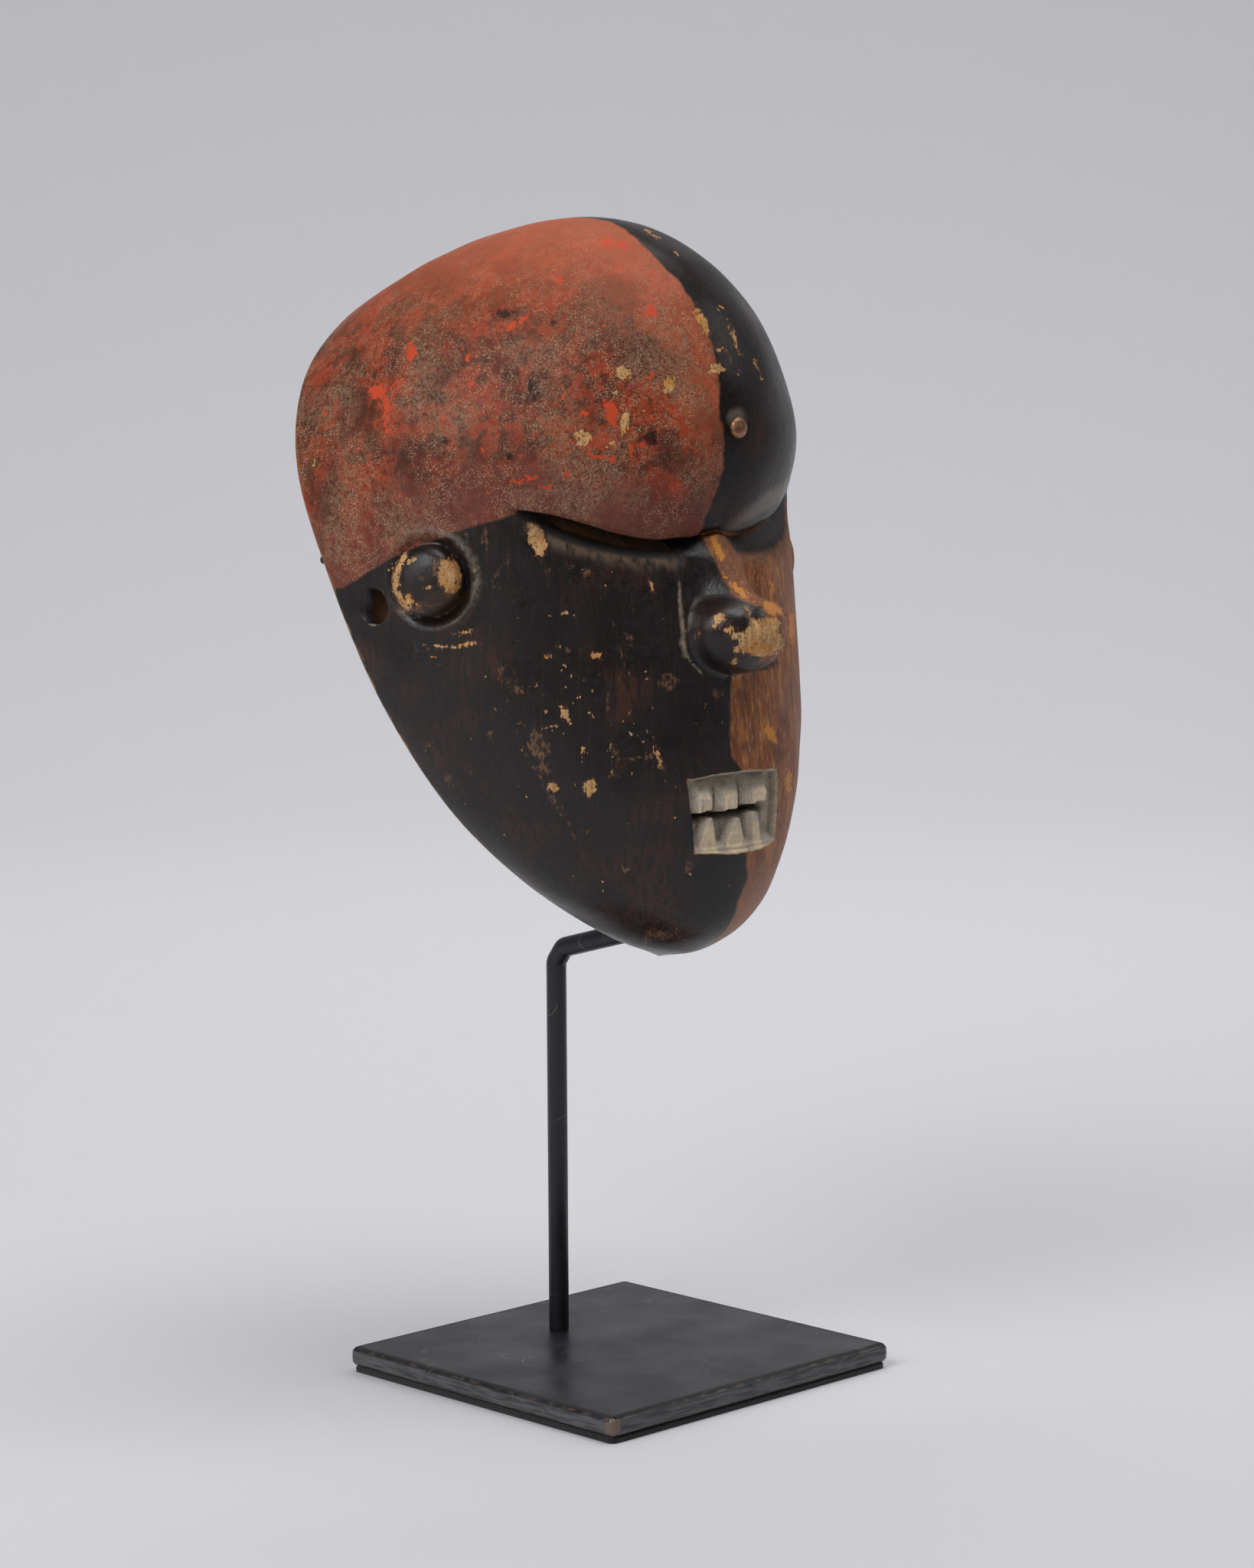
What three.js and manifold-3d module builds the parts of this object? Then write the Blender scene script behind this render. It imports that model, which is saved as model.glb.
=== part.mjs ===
// A carved and painted wooden face mask, hollow behind, resting on its bent steel display stand.
// Millimetres, +Z up. The face looks along -Y, and the mask's own left side is +X.
// The origin is the middle of the stand's underside.

import * as THREE from 'three';
import { mergeVertices } from 'three/addons/utils/BufferGeometryUtils.js';
import { ConvexGeometry } from 'three/addons/geometries/ConvexGeometry.js';
import Module from 'manifold-3d';

const wasm = await Module();
wasm.setup();

// Driving dimensions

// Sections of the mask, from the chin up over the crown. Each row holds the profile line's y and z,
// the rim's y and z, and half the width from rim to rim.
const sections = [
  [-25.5, 169.0, -25.5, 169.0, 0],
  [-49.5, 174.5, -19.5, 181.5, 27],
  [-67.0, 192.5, -6.5, 203.0, 54.5],
  [-72.5, 232.0, 7.5, 232.5, 79],
  [-69.0, 275.0, 27.0, 273.5, 95],
  [-65.0, 331.0, 47.5, 320.5, 102],
  [-70.5, 377.5, 61.0, 360.0, 104.5],
  [-52.5, 423.0, 70.5, 392.0, 93],
  [-13.0, 450.5, 75.0, 414.5, 70],
  [35.0, 451.5, 79.0, 428.0, 39.5],
  [80.0, 433.5, 80.0, 433.5, 0],
];
const ribFullness = 1.88;                 // 2 makes each rib half an ellipse
const wall = { face: 13, side: 9, chin: 6, crown: 9 };
const hollowOverrun = 10;                 // how far the hollow's cutter passes the rim
const cutFrontY = -100;                   // cuts into the mouth start clear in front of the face
const cutBackY = -50;

// The brow's lower edge and the cheek's upper lip, as x from the middle line and height z.
const browEdge = [[0, 333.5], [13, 331], [26, 329.5], [42, 332.5], [60, 339.5], [76, 345.5]];
const cheekLip = [[0, 326], [26, 325.5], [42, 327.5], [60, 333.5], [76, 344.5]];

// Each eye is a slot under the brow, in a broad shallow hollow. The slot is shallower over the nose.
const hollow = { depth: 4.5, above: 13, below: 11, fadeFrom: 58, fadeTo: 92 };
const slot = { depth: 5.6, overNose: 0.8, noseSide: [8, 22], browRound: 6, lipSharpness: 4.5,
               fadeFrom: 36, fadeTo: 76 };

// The slit that pierces the wall at the back of each slot, between two ribs given in degrees. It rises
// towards the inside, so a level view from in front meets its floor.
const slit = { from: 12.5, to: 38, height: 2.2, below: 1.2, rise: 0.9, front: 3, back: 14 };
const innerCorner = { x: 13, z: 315, depth: 4, across: 6, tall: 8 };

const nose = { rootZ: 334, rootY: -61, slope: 0.5, curl: 0.0135, tipZ: 309, fadeSlope: 1.3,
               halfWidth: 22, roundness: 0.27, concavity: 2.1 };
const noseBulb = { y: -69.5, z: 299.5, across: 22, out: 17, up: 12.5, down: 18.5 };

const mouth = { z: 228.5, topWidth: 47.5, bottomWidth: 43.5, height: 27.2, bow: 1.6, depth: 6.5 };
const mouthGap = { z: 229.3, width: 42, height: 2, depth: 9 };
const teeth = { perRow: 3, pitch: 15, base: 14.4, face: 7.5, out: 4.6, lift: 3 };

const ear = { u: 0.487, angle: 64.9, radius: 13.4, height: 10.5 };
const sideHole = { u: 0.47, angle: 79.2, radius: 6.5 };
const tack = { u: 0.591, radius: 4, dome: 2.4, pinRadius: 1.1, pinLength: 6 };

const plate = { side: 152, thickness: 7.9, cornerRadius: 3, edgeRound: 1.2 };
const felt = { side: 150, thickness: 2 };
const rod = { radius: 4, footY: 35, elbowY: 33.4, elbowZ: 165.5, tipY: -30, tipZ: 182.4, elbowBend: 7 };
const riser = { radius: 2.5, footY: -11, above: 6 };
const crossbar = { radius: 1.5, halfLength: 101, z: 325 };
const touchGap = 0.3;                     // left between pieces that rest on or are fixed to each other

const detail = { rows: 56, ribPoints: 40, hollowRows: 22, hollowRibPoints: 18, round: 20, rod: 16 };

const wood = new THREE.MeshStandardMaterial({ color: 0x4a2f25, roughness: 0.55, metalness: 0 });
const brass = new THREE.MeshStandardMaterial({ color: 0x9a6a45, roughness: 0.4, metalness: 0.9 });
const blackSteel = new THREE.MeshStandardMaterial({ color: 0x26282a, roughness: 0.5, metalness: 0.6 });
const blackFelt = new THREE.MeshStandardMaterial({ color: 0x111112, roughness: 1, metalness: 0 });

// Solids

function toSolid(geometry) {
  const bare = geometry.index ? geometry.clone() : geometry;
  bare.deleteAttribute('normal');
  bare.deleteAttribute('uv');
  const merged = mergeVertices(bare, 1e-4);
  const positions = merged.attributes.position.array;
  const corners = [];
  for (let i = 0; i < merged.index.count; i += 3) {
    const [a, b, c] = [0, 1, 2].map((k) => merged.index.getX(i + k));
    if (a !== b && b !== c && c !== a) corners.push(a, b, c);
  }
  return new wasm.Manifold(new wasm.Mesh({
    numProp: 3, vertProperties: new Float32Array(positions), triVerts: new Uint32Array(corners),
  }));
}

function toGeometry(solid) {
  const mesh = solid.getMesh();
  const geometry = new THREE.BufferGeometry();
  geometry.setAttribute('position', new THREE.BufferAttribute(mesh.vertProperties, 3));
  geometry.setIndex(new THREE.BufferAttribute(mesh.triVerts, 1));
  geometry.computeVertexNormals();
  return geometry;
}

function joinAll(solids) {
  return solids.reduce((whole, next) => whole.add(next));
}

// A closed skin over rings of points, all with the same count, drawn to a point at each end.
function skin(startPoint, rings, endPoint) {
  const points = [startPoint, ...rings.flat(), endPoint];
  const count = rings[0].length;
  const at = (ring, k) => 1 + ring * count + (k % count);
  const corners = [];
  for (let k = 0; k < count; k += 1) {
    corners.push(0, at(0, k + 1), at(0, k));
    for (let ring = 0; ring + 1 < rings.length; ring += 1) {
      corners.push(at(ring, k), at(ring + 1, k + 1), at(ring + 1, k));
      corners.push(at(ring, k), at(ring, k + 1), at(ring + 1, k + 1));
    }
    corners.push(at(rings.length - 1, k), at(rings.length - 1, k + 1), points.length - 1);
  }
  const geometry = new THREE.BufferGeometry().setFromPoints(points);
  geometry.setIndex(corners);
  return geometry;
}

// A rod of round section along straight stretches, with its corners bent to a radius.
function bentRod(radius, corners, bendRadius) {
  const path = new THREE.CurvePath();
  let from = corners[0];
  for (let i = 1; i + 1 < corners.length; i += 1) {
    const back = from.clone().sub(corners[i]).normalize();
    const ahead = corners[i + 1].clone().sub(corners[i]).normalize();
    const setback = bendRadius * Math.tan((Math.PI - back.angleTo(ahead)) / 2);
    const bendStart = corners[i].clone().addScaledVector(back, setback);
    const bendEnd = corners[i].clone().addScaledVector(ahead, setback);
    path.add(new THREE.LineCurve3(from, bendStart));
    path.add(new THREE.QuadraticBezierCurve3(bendStart, corners[i], bendEnd));
    from = bendEnd;
  }
  path.add(new THREE.LineCurve3(from, corners.at(-1)));
  const section = new THREE.Shape().absarc(0, 0, radius, 0, 2 * Math.PI);
  const steps = corners.length > 2 ? 30 : 1;
  return new THREE.ExtrudeGeometry(section, { extrudePath: path, steps, curveSegments: detail.rod / 2 });
}

// The carved form

function throughPoints(points) {
  return new THREE.CatmullRomCurve3(points, false, 'catmullrom', 0.5);
}

// The form that the sections span: a profile line and a rim, with a rib from rim to rim at each u.
function form(rows) {
  const profile = throughPoints(rows.map(([y, z]) => new THREE.Vector3(0, y, z)));
  const rim = throughPoints(rows.map(([, , y, z, w]) => new THREE.Vector3(w, y, z)));
  return (u, degrees) => {
    const top = profile.getPoint(u);
    const edge = rim.getPoint(u);
    const angle = THREE.MathUtils.degToRad(degrees);
    const forward = Math.abs(Math.cos(angle)) ** (2 / ribFullness);
    const across = Math.sign(angle) * Math.abs(Math.sin(angle)) ** (2 / ribFullness);
    const point = edge.clone().lerp(top, forward);
    point.x = edge.x * across;
    return point;
  };
}

const outerForm = form(sections);
const chinEnd = new THREE.Vector2(sections[0][2], sections[0][3]);
const crownEnd = new THREE.Vector2(sections.at(-1)[2], sections.at(-1)[3]);
const rimLean = Math.atan2(crownEnd.x - chinEnd.x, crownEnd.y - chinEnd.y);

// The same form shrunk inside a wall, and carried on past the rim where it is to cut right through.
function insetForm(thickness, overrun) {
  const length = chinEnd.distanceTo(crownEnd);
  const up = crownEnd.clone().sub(chinEnd).normalize();
  const back = new THREE.Vector2(up.y, -up.x);
  const widest = Math.max(...sections.map((row) => row[4]));
  const deepest = Math.max(...sections.map(([y, z]) => -new THREE.Vector2(y, z).sub(chinEnd).dot(back)));
  const shrinkUp = 1 - (thickness.chin + thickness.crown) / length;
  const shrinkDeep = 1 - thickness.face / deepest;
  const move = (y, z, pushed) => {
    const offset = new THREE.Vector2(y, z).sub(chinEnd);
    return chinEnd.clone()
      .addScaledVector(up, thickness.chin + offset.dot(up) * shrinkUp)
      .addScaledVector(back, offset.dot(back) * shrinkDeep + pushed)
      .toArray();
  };
  return form(sections.map(([y, z, rimY, rimZ, halfWidth], i) => {
    const atEnd = i === 0 || i === sections.length - 1;
    return [...move(y, z, atEnd ? overrun : 0), ...move(rimY, rimZ, overrun),
            halfWidth * (1 - thickness.side / widest)];
  }));
}

function heightAlong(points) {
  const curve = new THREE.SplineCurve(points.map(([x, z]) => new THREE.Vector2(x, z)));
  const samples = curve.getPoints(60);
  return (x) => {
    const far = samples.findIndex((sample) => sample.x >= Math.abs(x));
    if (far < 1) return far < 0 ? samples.at(-1).y : samples[0].y;
    const [a, b] = [samples[far - 1], samples[far]];
    return THREE.MathUtils.mapLinear(Math.abs(x), a.x, b.x, a.y, b.y);
  };
}

const browZ = heightAlong(browEdge);
const lipZ = heightAlong(cheekLip);

function fade(x, { fadeFrom, fadeTo }) {
  return 1 - THREE.MathUtils.smoothstep(Math.abs(x), fadeFrom, fadeTo);
}

function bell(distance, spread) {
  return Math.exp(-((distance / spread) ** 2));
}

// How far the wood is cut back around the eyes.
function eyeDepth(x, z) {
  const above = z - browZ(x);
  const broad = hollow.depth * fade(x, hollow) * bell(above, above > 0 ? hollow.above : hollow.below);
  const corner = innerCorner.depth * bell(Math.abs(x) - innerCorner.x, innerCorner.across)
    * bell(z - innerCorner.z, innerCorner.tall);
  const inward = Math.max(0, 1 - above / slot.browRound);
  const k = slot.lipSharpness;
  const down = -above / Math.max(1, browZ(x) - lipZ(x));
  const section = above > 0 ? 1 - Math.sqrt(1 - inward * inward)
    : Math.log1p(Math.exp(k * (1 - down))) / Math.log1p(Math.exp(k));
  const beside = THREE.MathUtils.smoothstep(Math.abs(x), ...slot.noseSide);
  const eye = THREE.MathUtils.lerp(slot.overNose, 1, beside);
  return broad + corner + slot.depth * eye * fade(x, slot) * section;
}

function noseRidgeY(z) {
  const drop = Math.max(0, nose.rootZ - Math.max(z, nose.tipZ));
  const ridge = nose.rootY - nose.slope * drop - nose.curl * drop * drop;
  return ridge + nose.fadeSlope * Math.max(0, nose.tipZ - z);
}

// 1 on the ridge of the nose, 0 at its foot on each side.
function noseSection(x) {
  const out = Math.min(1, Math.abs(x) / nose.halfWidth);
  const round = nose.roundness;
  const fall = (Math.hypot(out, round) - round) / (Math.hypot(1, round) - round);
  return (1 - fall) ** nose.concavity;
}

function carvedPoint(u, degrees) {
  const point = outerForm(u, degrees);
  if (Math.abs(degrees) > 75) return point;
  const y = point.y + eyeDepth(point.x, point.z);
  const ridge = noseRidgeY(point.z);
  const belowBrow = point.z < browZ(point.x);
  point.y = belowBrow && ridge < y ? THREE.MathUtils.lerp(y, ridge, noseSection(point.x)) : y;
  return point;
}

// Values from low to high, closer together around a centre.
function crowded(low, high, count, centre, spread, gain) {
  const fine = 400;
  const sums = [0];
  for (let i = 0; i < fine; i += 1) {
    const value = low + (high - low) * (i + 0.5) / fine;
    sums.push(sums[i] + 1 + gain * Math.exp(-(((value - centre) / spread) ** 2)));
  }
  return Array.from({ length: count + 1 }, (_, k) => {
    const wanted = sums[fine] * k / count;
    const i = Math.min(fine - 1, sums.findIndex((sum, j) => j < fine && sums[j + 1] >= wanted));
    return low + (high - low) * (i + (wanted - sums[i]) / (sums[i + 1] - sums[i])) / fine;
  });
}

function formSkin(point, rows, ribPoints) {
  const rings = [];
  for (let i = 1; i < rows; i += 1) {
    rings.push(Array.from({ length: ribPoints + 1 }, (_, k) => point(i / rows, -90 + 180 * k / ribPoints)));
  }
  return skin(point(0, 0), rings, point(1, 0));
}

// Where the brow's edge crosses the rib line at an angle.
function browLevel(degrees) {
  let [low, high] = [0.4, 0.7];
  for (let i = 0; i < 24; i += 1) {
    const middle = (low + high) / 2;
    const point = outerForm(middle, degrees);
    if (point.z < browZ(point.x)) low = middle;
    else high = middle;
  }
  return low;
}

// The carved skin: rows run close together along the brow, and columns close together on the nose.
function carvedSkin() {
  const browRow = 0.5;
  const angles = crowded(-90, 90, detail.ribPoints, 0, 22, 1.6);
  const browLevels = angles.map(browLevel);
  const rings = crowded(0, 1, detail.rows, browRow, 0.06, 2.6).slice(1, -1).map((row) => (
    angles.map((angle, k) => {
      const level = row < browRow ? browLevels[k] * row / browRow
        : 1 - (1 - browLevels[k]) * (1 - row) / (1 - browRow);
      return carvedPoint(level, angle);
    })));
  return skin(outerForm(0, 0), rings, outerForm(1, 0));
}

// Where a feature stands on the outer form, as a frame whose z runs straight out of the wood.
function frameOn(u, degrees) {
  const step = 1e-3;
  const along = outerForm(u + step, degrees).sub(outerForm(u - step, degrees));
  const across = outerForm(u, degrees + 1).sub(outerForm(u, degrees - 1));
  const out = across.cross(along).normalize();
  const turn = new THREE.Quaternion().setFromUnitVectors(new THREE.Vector3(0, 0, 1), out);
  return new THREE.Matrix4().compose(outerForm(u, degrees), turn, new THREE.Vector3(1, 1, 1));
}

function turned(profile) {
  const points = profile.map(([r, h]) => new THREE.Vector2(r, h));
  return new THREE.LatheGeometry(points, detail.round).rotateX(Math.PI / 2);
}

function earKnob(side) {
  const { radius, height } = ear;
  const profile = [[0, -7], [radius, -7], [radius, height * 0.35]];
  for (let degrees = 20; degrees < 90; degrees += 23) {
    const angle = THREE.MathUtils.degToRad(degrees);
    profile.push([radius * Math.cos(angle) ** 0.8, height * (0.35 + 0.65 * Math.sin(angle))]);
  }
  profile.push([0, height]);
  return toSolid(turned(profile).applyMatrix4(frameOn(ear.u, side * ear.angle)));
}

function drilled(radius, from, to, frame) {
  const drill = turned([[0, from], [radius, from], [radius, to], [0, to]]);
  return toSolid(drill.applyMatrix4(frame));
}

function bulb() {
  const ball = new THREE.SphereGeometry(1, 24, 16).rotateX(Math.PI / 2);
  const spots = ball.attributes.position;
  for (let i = 0; i < spots.count; i += 1) {
    const height = spots.getZ(i) * (spots.getZ(i) > 0 ? noseBulb.up : noseBulb.down);
    spots.setXYZ(i, spots.getX(i) * noseBulb.across, noseBulb.y + spots.getY(i) * noseBulb.out,
      noseBulb.z + height);
  }
  return toSolid(ball);
}

// A cut into the face with an outline in x and z, from in front of it to a given y.
function cutIntoFace(outline, backY) {
  const shape = new THREE.Shape(outline.map(([x, z]) => new THREE.Vector2(x, z)));
  const block = new THREE.ExtrudeGeometry(shape, { depth: backY - cutFrontY, bevelEnabled: false });
  return toSolid(block.rotateX(Math.PI / 2).translate(0, backY, 0));
}

// A cut into the face with its floor a given depth below the outer form.
function sunkInFace(outline, depth) {
  const inset = insetForm({ face: depth, side: depth, chin: depth, crown: depth }, 0);
  return cutIntoFace(outline, cutBackY).subtract(toSolid(formSkin(inset, 24, 24)));
}

function mouthCutter() {
  const [low, high] = [mouth.z - mouth.height / 2, mouth.z + mouth.height / 2];
  const places = [-1, -0.5, 0, 0.5, 1];
  const bow = (k) => mouth.bow * (1 - k * k);
  const lower = places.map((k) => [k * mouth.bottomWidth / 2, low - bow(k)]);
  const upper = places.map((k) => [k * mouth.topWidth / 2, high + bow(k)]);
  return sunkInFace([...lower, ...upper.reverse()], mouth.depth);
}

function mouthGapCutter() {
  const across = mouthGap.width / 2;
  const [low, high] = [mouthGap.z - mouthGap.height / 2, mouthGap.z + mouthGap.height / 2];
  return sunkInFace([[-across, low], [across, low], [across, high], [-across, high]], mouthGap.depth);
}

function surfaceYAt(x, z) {
  let best = null;
  for (let u = 0.2; u < 0.4; u += 0.004) {
    for (let degrees = -30; degrees <= 30; degrees += 1) {
      const point = outerForm(u, degrees);
      const miss = Math.hypot(point.x - x, point.z - z);
      if (!best || miss < best.miss) best = { miss, y: point.y };
    }
  }
  return best.y;
}

// A tooth as the hull of its root on the mouth's floor and its smaller front face.
function tooth(x, root, front) {
  const floorY = surfaceYAt(x, mouth.z) + mouth.depth + 0.8;
  const lean = (surfaceYAt(x + 3, mouth.z) - surfaceYAt(x - 3, mouth.z)) / 6;
  const place = ([across, out, z]) => new THREE.Vector3(x + across, floorY - out + lean * across, z);
  return toSolid(new ConvexGeometry([...root, ...front].map(place)));
}

function toothRow() {
  const [bottom, top] = [mouth.z - mouth.height / 2 - 0.8, mouth.z + mouth.height / 2 + 0.8];
  const upperEnd = mouthGap.z + mouthGap.height / 2;
  const lowerEnd = mouthGap.z - mouthGap.height / 2;
  const { base, face, out, lift } = teeth;
  const pieces = [];
  for (let i = 0; i < teeth.perRow; i += 1) {
    const x = (i - (teeth.perRow - 1) / 2) * teeth.pitch;
    const upperRoot = [[-base / 2, 0, top], [base / 2, 0, top], [base / 2, 0, upperEnd],
                       [-base / 2, 0, upperEnd], [-base / 2, lift, top], [base / 2, lift, top]];
    const upperFront = [[-face / 2, out + 0.8, top - 5.5], [face / 2, out + 0.8, top - 5.5],
                        [face / 2, out + 0.8, upperEnd], [-face / 2, out + 0.8, upperEnd]];
    pieces.push(tooth(x, upperRoot, upperFront));
    const lowerRoot = [[-base / 2, 0, bottom], [base / 2, 0, bottom], [base / 4, 0, lowerEnd],
                       [-base / 4, 0, lowerEnd]];
    const lowerFront = [[-base / 2 + 1, lift, bottom], [base / 2 - 1, lift, bottom],
                        [-face / 5, out + 0.8, lowerEnd - 0.6], [face / 5, out + 0.8, lowerEnd - 0.6]];
    pieces.push(tooth(x, lowerRoot, lowerFront));
  }
  return joinAll(pieces);
}

// The slit behind one slot, as a lens that runs between its two ribs.
function slitCutter(side) {
  const section = (k) => {
    const angle = side * THREE.MathUtils.lerp(slit.from, slit.to, k);
    const edge = outerForm(browLevel(angle), angle);
    const floorY = edge.y + eyeDepth(edge.x, edge.z - slit.below);
    const half = slit.height / 2 * Math.sqrt(Math.max(0, 1 - (2 * k - 1) ** 4));
    const at = (deep, up) => (
      new THREE.Vector3(edge.x, floorY + deep, edge.z - slit.below + deep * slit.rise + up));
    return [at(-slit.front, -half), at(slit.back, -half), at(slit.back, half), at(-slit.front, half)];
  };
  const tip = (k) => section(k)[0].lerp(section(k)[1], slit.front / (slit.front + slit.back));
  const rings = Array.from({ length: 9 }, (_, i) => section((i + 1) / 10));
  return toSolid(skin(tip(0), rings.map((ring) => (side > 0 ? ring : ring.reverse())), tip(1)));
}

function maskSolid() {
  const inside = formSkin(insetForm(wall, hollowOverrun), detail.hollowRows, detail.hollowRibPoints);
  let mask = joinAll([toSolid(carvedSkin()), bulb(), earKnob(-1), earKnob(1)]).subtract(toSolid(inside));
  for (const side of [-1, 1]) {
    mask = mask.subtract(drilled(sideHole.radius, -25, 10, frameOn(sideHole.u, side * sideHole.angle)));
  }
  mask = mask.subtract(slitCutter(-1)).subtract(slitCutter(1));
  mask = mask.subtract(drilled(tack.pinRadius + touchGap, -tack.pinLength - 1, 10, frameOn(tack.u, 0)));
  return mask.subtract(mouthCutter()).add(toothRow()).subtract(mouthGapCutter());
}

// A domed nail head with its pin in the wood.
function tackGeometry() {
  const profile = [[0, -tack.pinLength], [tack.pinRadius, -tack.pinLength + 2], [tack.pinRadius, touchGap],
                   [tack.radius, touchGap]];
  for (let degrees = 0; degrees < 90; degrees += 30) {
    const angle = THREE.MathUtils.degToRad(degrees);
    profile.push([tack.radius * Math.cos(angle), touchGap + 0.4 + tack.dome * Math.sin(angle)]);
  }
  profile.push([0, touchGap + 0.4 + tack.dome]);
  return turned(profile).applyMatrix4(frameOn(tack.u, 0));
}

// The stand

function roundedSquare(side, radius) {
  const half = side / 2;
  const shape = new THREE.Shape();
  [[1, 1, 0], [-1, 1, 90], [-1, -1, 180], [1, -1, 270]].forEach(([sx, sy, start]) => {
    const from = THREE.MathUtils.degToRad(start);
    shape.absarc(sx * (half - radius), sy * (half - radius), radius, from, from + Math.PI / 2);
  });
  return shape.closePath();
}

function feltGeometry() {
  const shape = roundedSquare(felt.side, plate.cornerRadius);
  return new THREE.ExtrudeGeometry(shape, { depth: felt.thickness, bevelEnabled: false, curveSegments: 3 });
}

function plateGeometry() {
  const round = plate.edgeRound;
  const shape = roundedSquare(plate.side - 2 * round, plate.cornerRadius);
  const options = { depth: plate.thickness - 2 * round, bevelThickness: round, bevelSize: round,
                    bevelSegments: 2, curveSegments: 3 };
  return new THREE.ExtrudeGeometry(shape, options).translate(0, 0, felt.thickness + touchGap + round);
}

const plateTop = felt.thickness + touchGap + plate.thickness;

const rodCorners = [
  new THREE.Vector3(0, rod.footY, plateTop + touchGap),
  new THREE.Vector3(0, rod.elbowY, rod.elbowZ),
  new THREE.Vector3(0, rod.tipY, rod.tipZ),
];

// The crossbar lies against the back of the rim.
function crossbarY() {
  const levels = Array.from({ length: 200 }, (_, i) => outerForm(i / 200, 90));
  const rimY = levels.find((point) => point.z >= crossbar.z).y;
  return rimY + (crossbar.radius + 2 * touchGap) / Math.cos(rimLean);
}

// The thin upright behind the mask, coped at its foot to sit on the bent rod. It passes behind the bar.
function riserGeometry() {
  const foot = new THREE.Vector3(0, riser.footY, 0);
  foot.z = THREE.MathUtils.mapLinear(riser.footY, rod.elbowY, rod.tipY, rod.elbowZ, rod.tipZ);
  const atBar = new THREE.Vector3(0, crossbarY(), crossbar.z);
  const lean = Math.atan2(atBar.y - foot.y, atBar.z - foot.z);
  atBar.y += (crossbar.radius + touchGap + riser.radius) / Math.cos(lean);
  const top = atBar.clone().addScaledVector(atBar.clone().sub(foot).normalize(), riser.above);
  const upright = toSolid(bentRod(riser.radius, [foot, top], 0));
  return toGeometry(upright.subtract(toSolid(bentRod(rod.radius + touchGap, rodCorners, rod.elbowBend))));
}

function crossbarGeometry() {
  const end = (side) => new THREE.Vector3(side * crossbar.halfLength, crossbarY(), crossbar.z);
  return bentRod(crossbar.radius, [end(-1), end(1)], 0);
}

// Assembly

const maskOnStand = new THREE.Group();

function place(name, geometry, material) {
  const mesh = new THREE.Mesh(geometry, material);
  mesh.name = name;
  maskOnStand.add(mesh);
}

place('mask', toGeometry(maskSolid()), wood);
place('forehead_tack', tackGeometry(), brass);
place('stand_post', bentRod(rod.radius, rodCorners, rod.elbowBend), blackSteel);
place('stand_riser', riserGeometry(), blackSteel);
place('stand_crossbar', crossbarGeometry(), blackSteel);
place('base_plate', plateGeometry(), blackSteel);
place('felt_pad', feltGeometry(), blackFelt);

export default maskOnStand;
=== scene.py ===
"""A carved and painted wooden face mask on its black steel display stand.

Blender works in metres. The shape functions work in millimetres, with the origin at the middle of
the stand's underside, Z up and the face looking along -Y.
"""

import math

import bmesh
import bpy
import numpy as np
from bpy.props import FloatProperty, FloatVectorProperty, PointerProperty
from mathutils import Matrix, Vector, kdtree


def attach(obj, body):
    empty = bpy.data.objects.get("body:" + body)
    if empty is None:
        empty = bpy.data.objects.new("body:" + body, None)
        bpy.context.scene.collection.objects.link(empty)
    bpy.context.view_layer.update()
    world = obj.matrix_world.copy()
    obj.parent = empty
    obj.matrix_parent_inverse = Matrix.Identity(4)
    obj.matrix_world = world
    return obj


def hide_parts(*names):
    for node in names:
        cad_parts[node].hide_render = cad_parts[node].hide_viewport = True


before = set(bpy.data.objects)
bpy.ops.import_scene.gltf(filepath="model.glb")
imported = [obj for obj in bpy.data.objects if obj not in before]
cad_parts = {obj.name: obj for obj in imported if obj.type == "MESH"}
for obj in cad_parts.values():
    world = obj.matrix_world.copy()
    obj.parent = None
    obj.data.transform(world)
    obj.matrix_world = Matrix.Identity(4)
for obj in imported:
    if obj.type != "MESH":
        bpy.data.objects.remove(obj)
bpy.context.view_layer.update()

bl_info = {
    "name": "Carved Face Mask on Stand",
    "version": (1, 0, 0),
    "blender": (4, 5, 0),
    "location": "View3D > Sidebar > Face Mask",
    "description": "Builds a carved and painted wooden face mask, its bent rod stand and a studio stage",
    "category": "Add Mesh",
}

MM = 0.001

# The carved form: for each section from chin to crown, the profile line's y and z, the rim's y and z,
# and half the width from rim to rim.
SECTIONS = np.array([
    [-25.5, 169.0, -25.5, 169.0, 0],
    [-49.5, 174.5, -19.5, 181.5, 27],
    [-67.0, 192.5, -6.5, 203.0, 54.5],
    [-72.5, 232.0, 7.5, 232.5, 79],
    [-69.0, 275.0, 27.0, 273.5, 95],
    [-65.0, 331.0, 47.5, 320.5, 102],
    [-70.5, 377.5, 61.0, 360.0, 104.5],
    [-52.5, 423.0, 70.5, 392.0, 93],
    [-13.0, 450.5, 75.0, 414.5, 70],
    [35.0, 451.5, 79.0, 428.0, 39.5],
    [80.0, 433.5, 80.0, 433.5, 0],
])
RIB_FULLNESS = 1.88
BROW_EDGE = np.array([[0, 333.5], [13, 331], [26, 329.5], [42, 332.5], [60, 339.5], [76, 345.5]])
LEFT_BROW_RISE = {"height": 3.5, "from": (12, 30), "to": (60, 80)}
CHEEK_LIP = np.array([[0, 326], [26, 325.5], [42, 327.5], [60, 333.5], [76, 344.5]])
EYE_HOLLOW = {"depth": 4.5, "above": 13, "below": 11, "fade": (58, 92)}
INNER_CORNER = {"x": 13, "z": 315, "depth": 4, "across": 6, "tall": 8}
SLOT = {"over_nose": 0.75, "beside_nose": (8, 22), "fade": (50, 80), "sharpness": 4.5, "tilt": 0.4}
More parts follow.
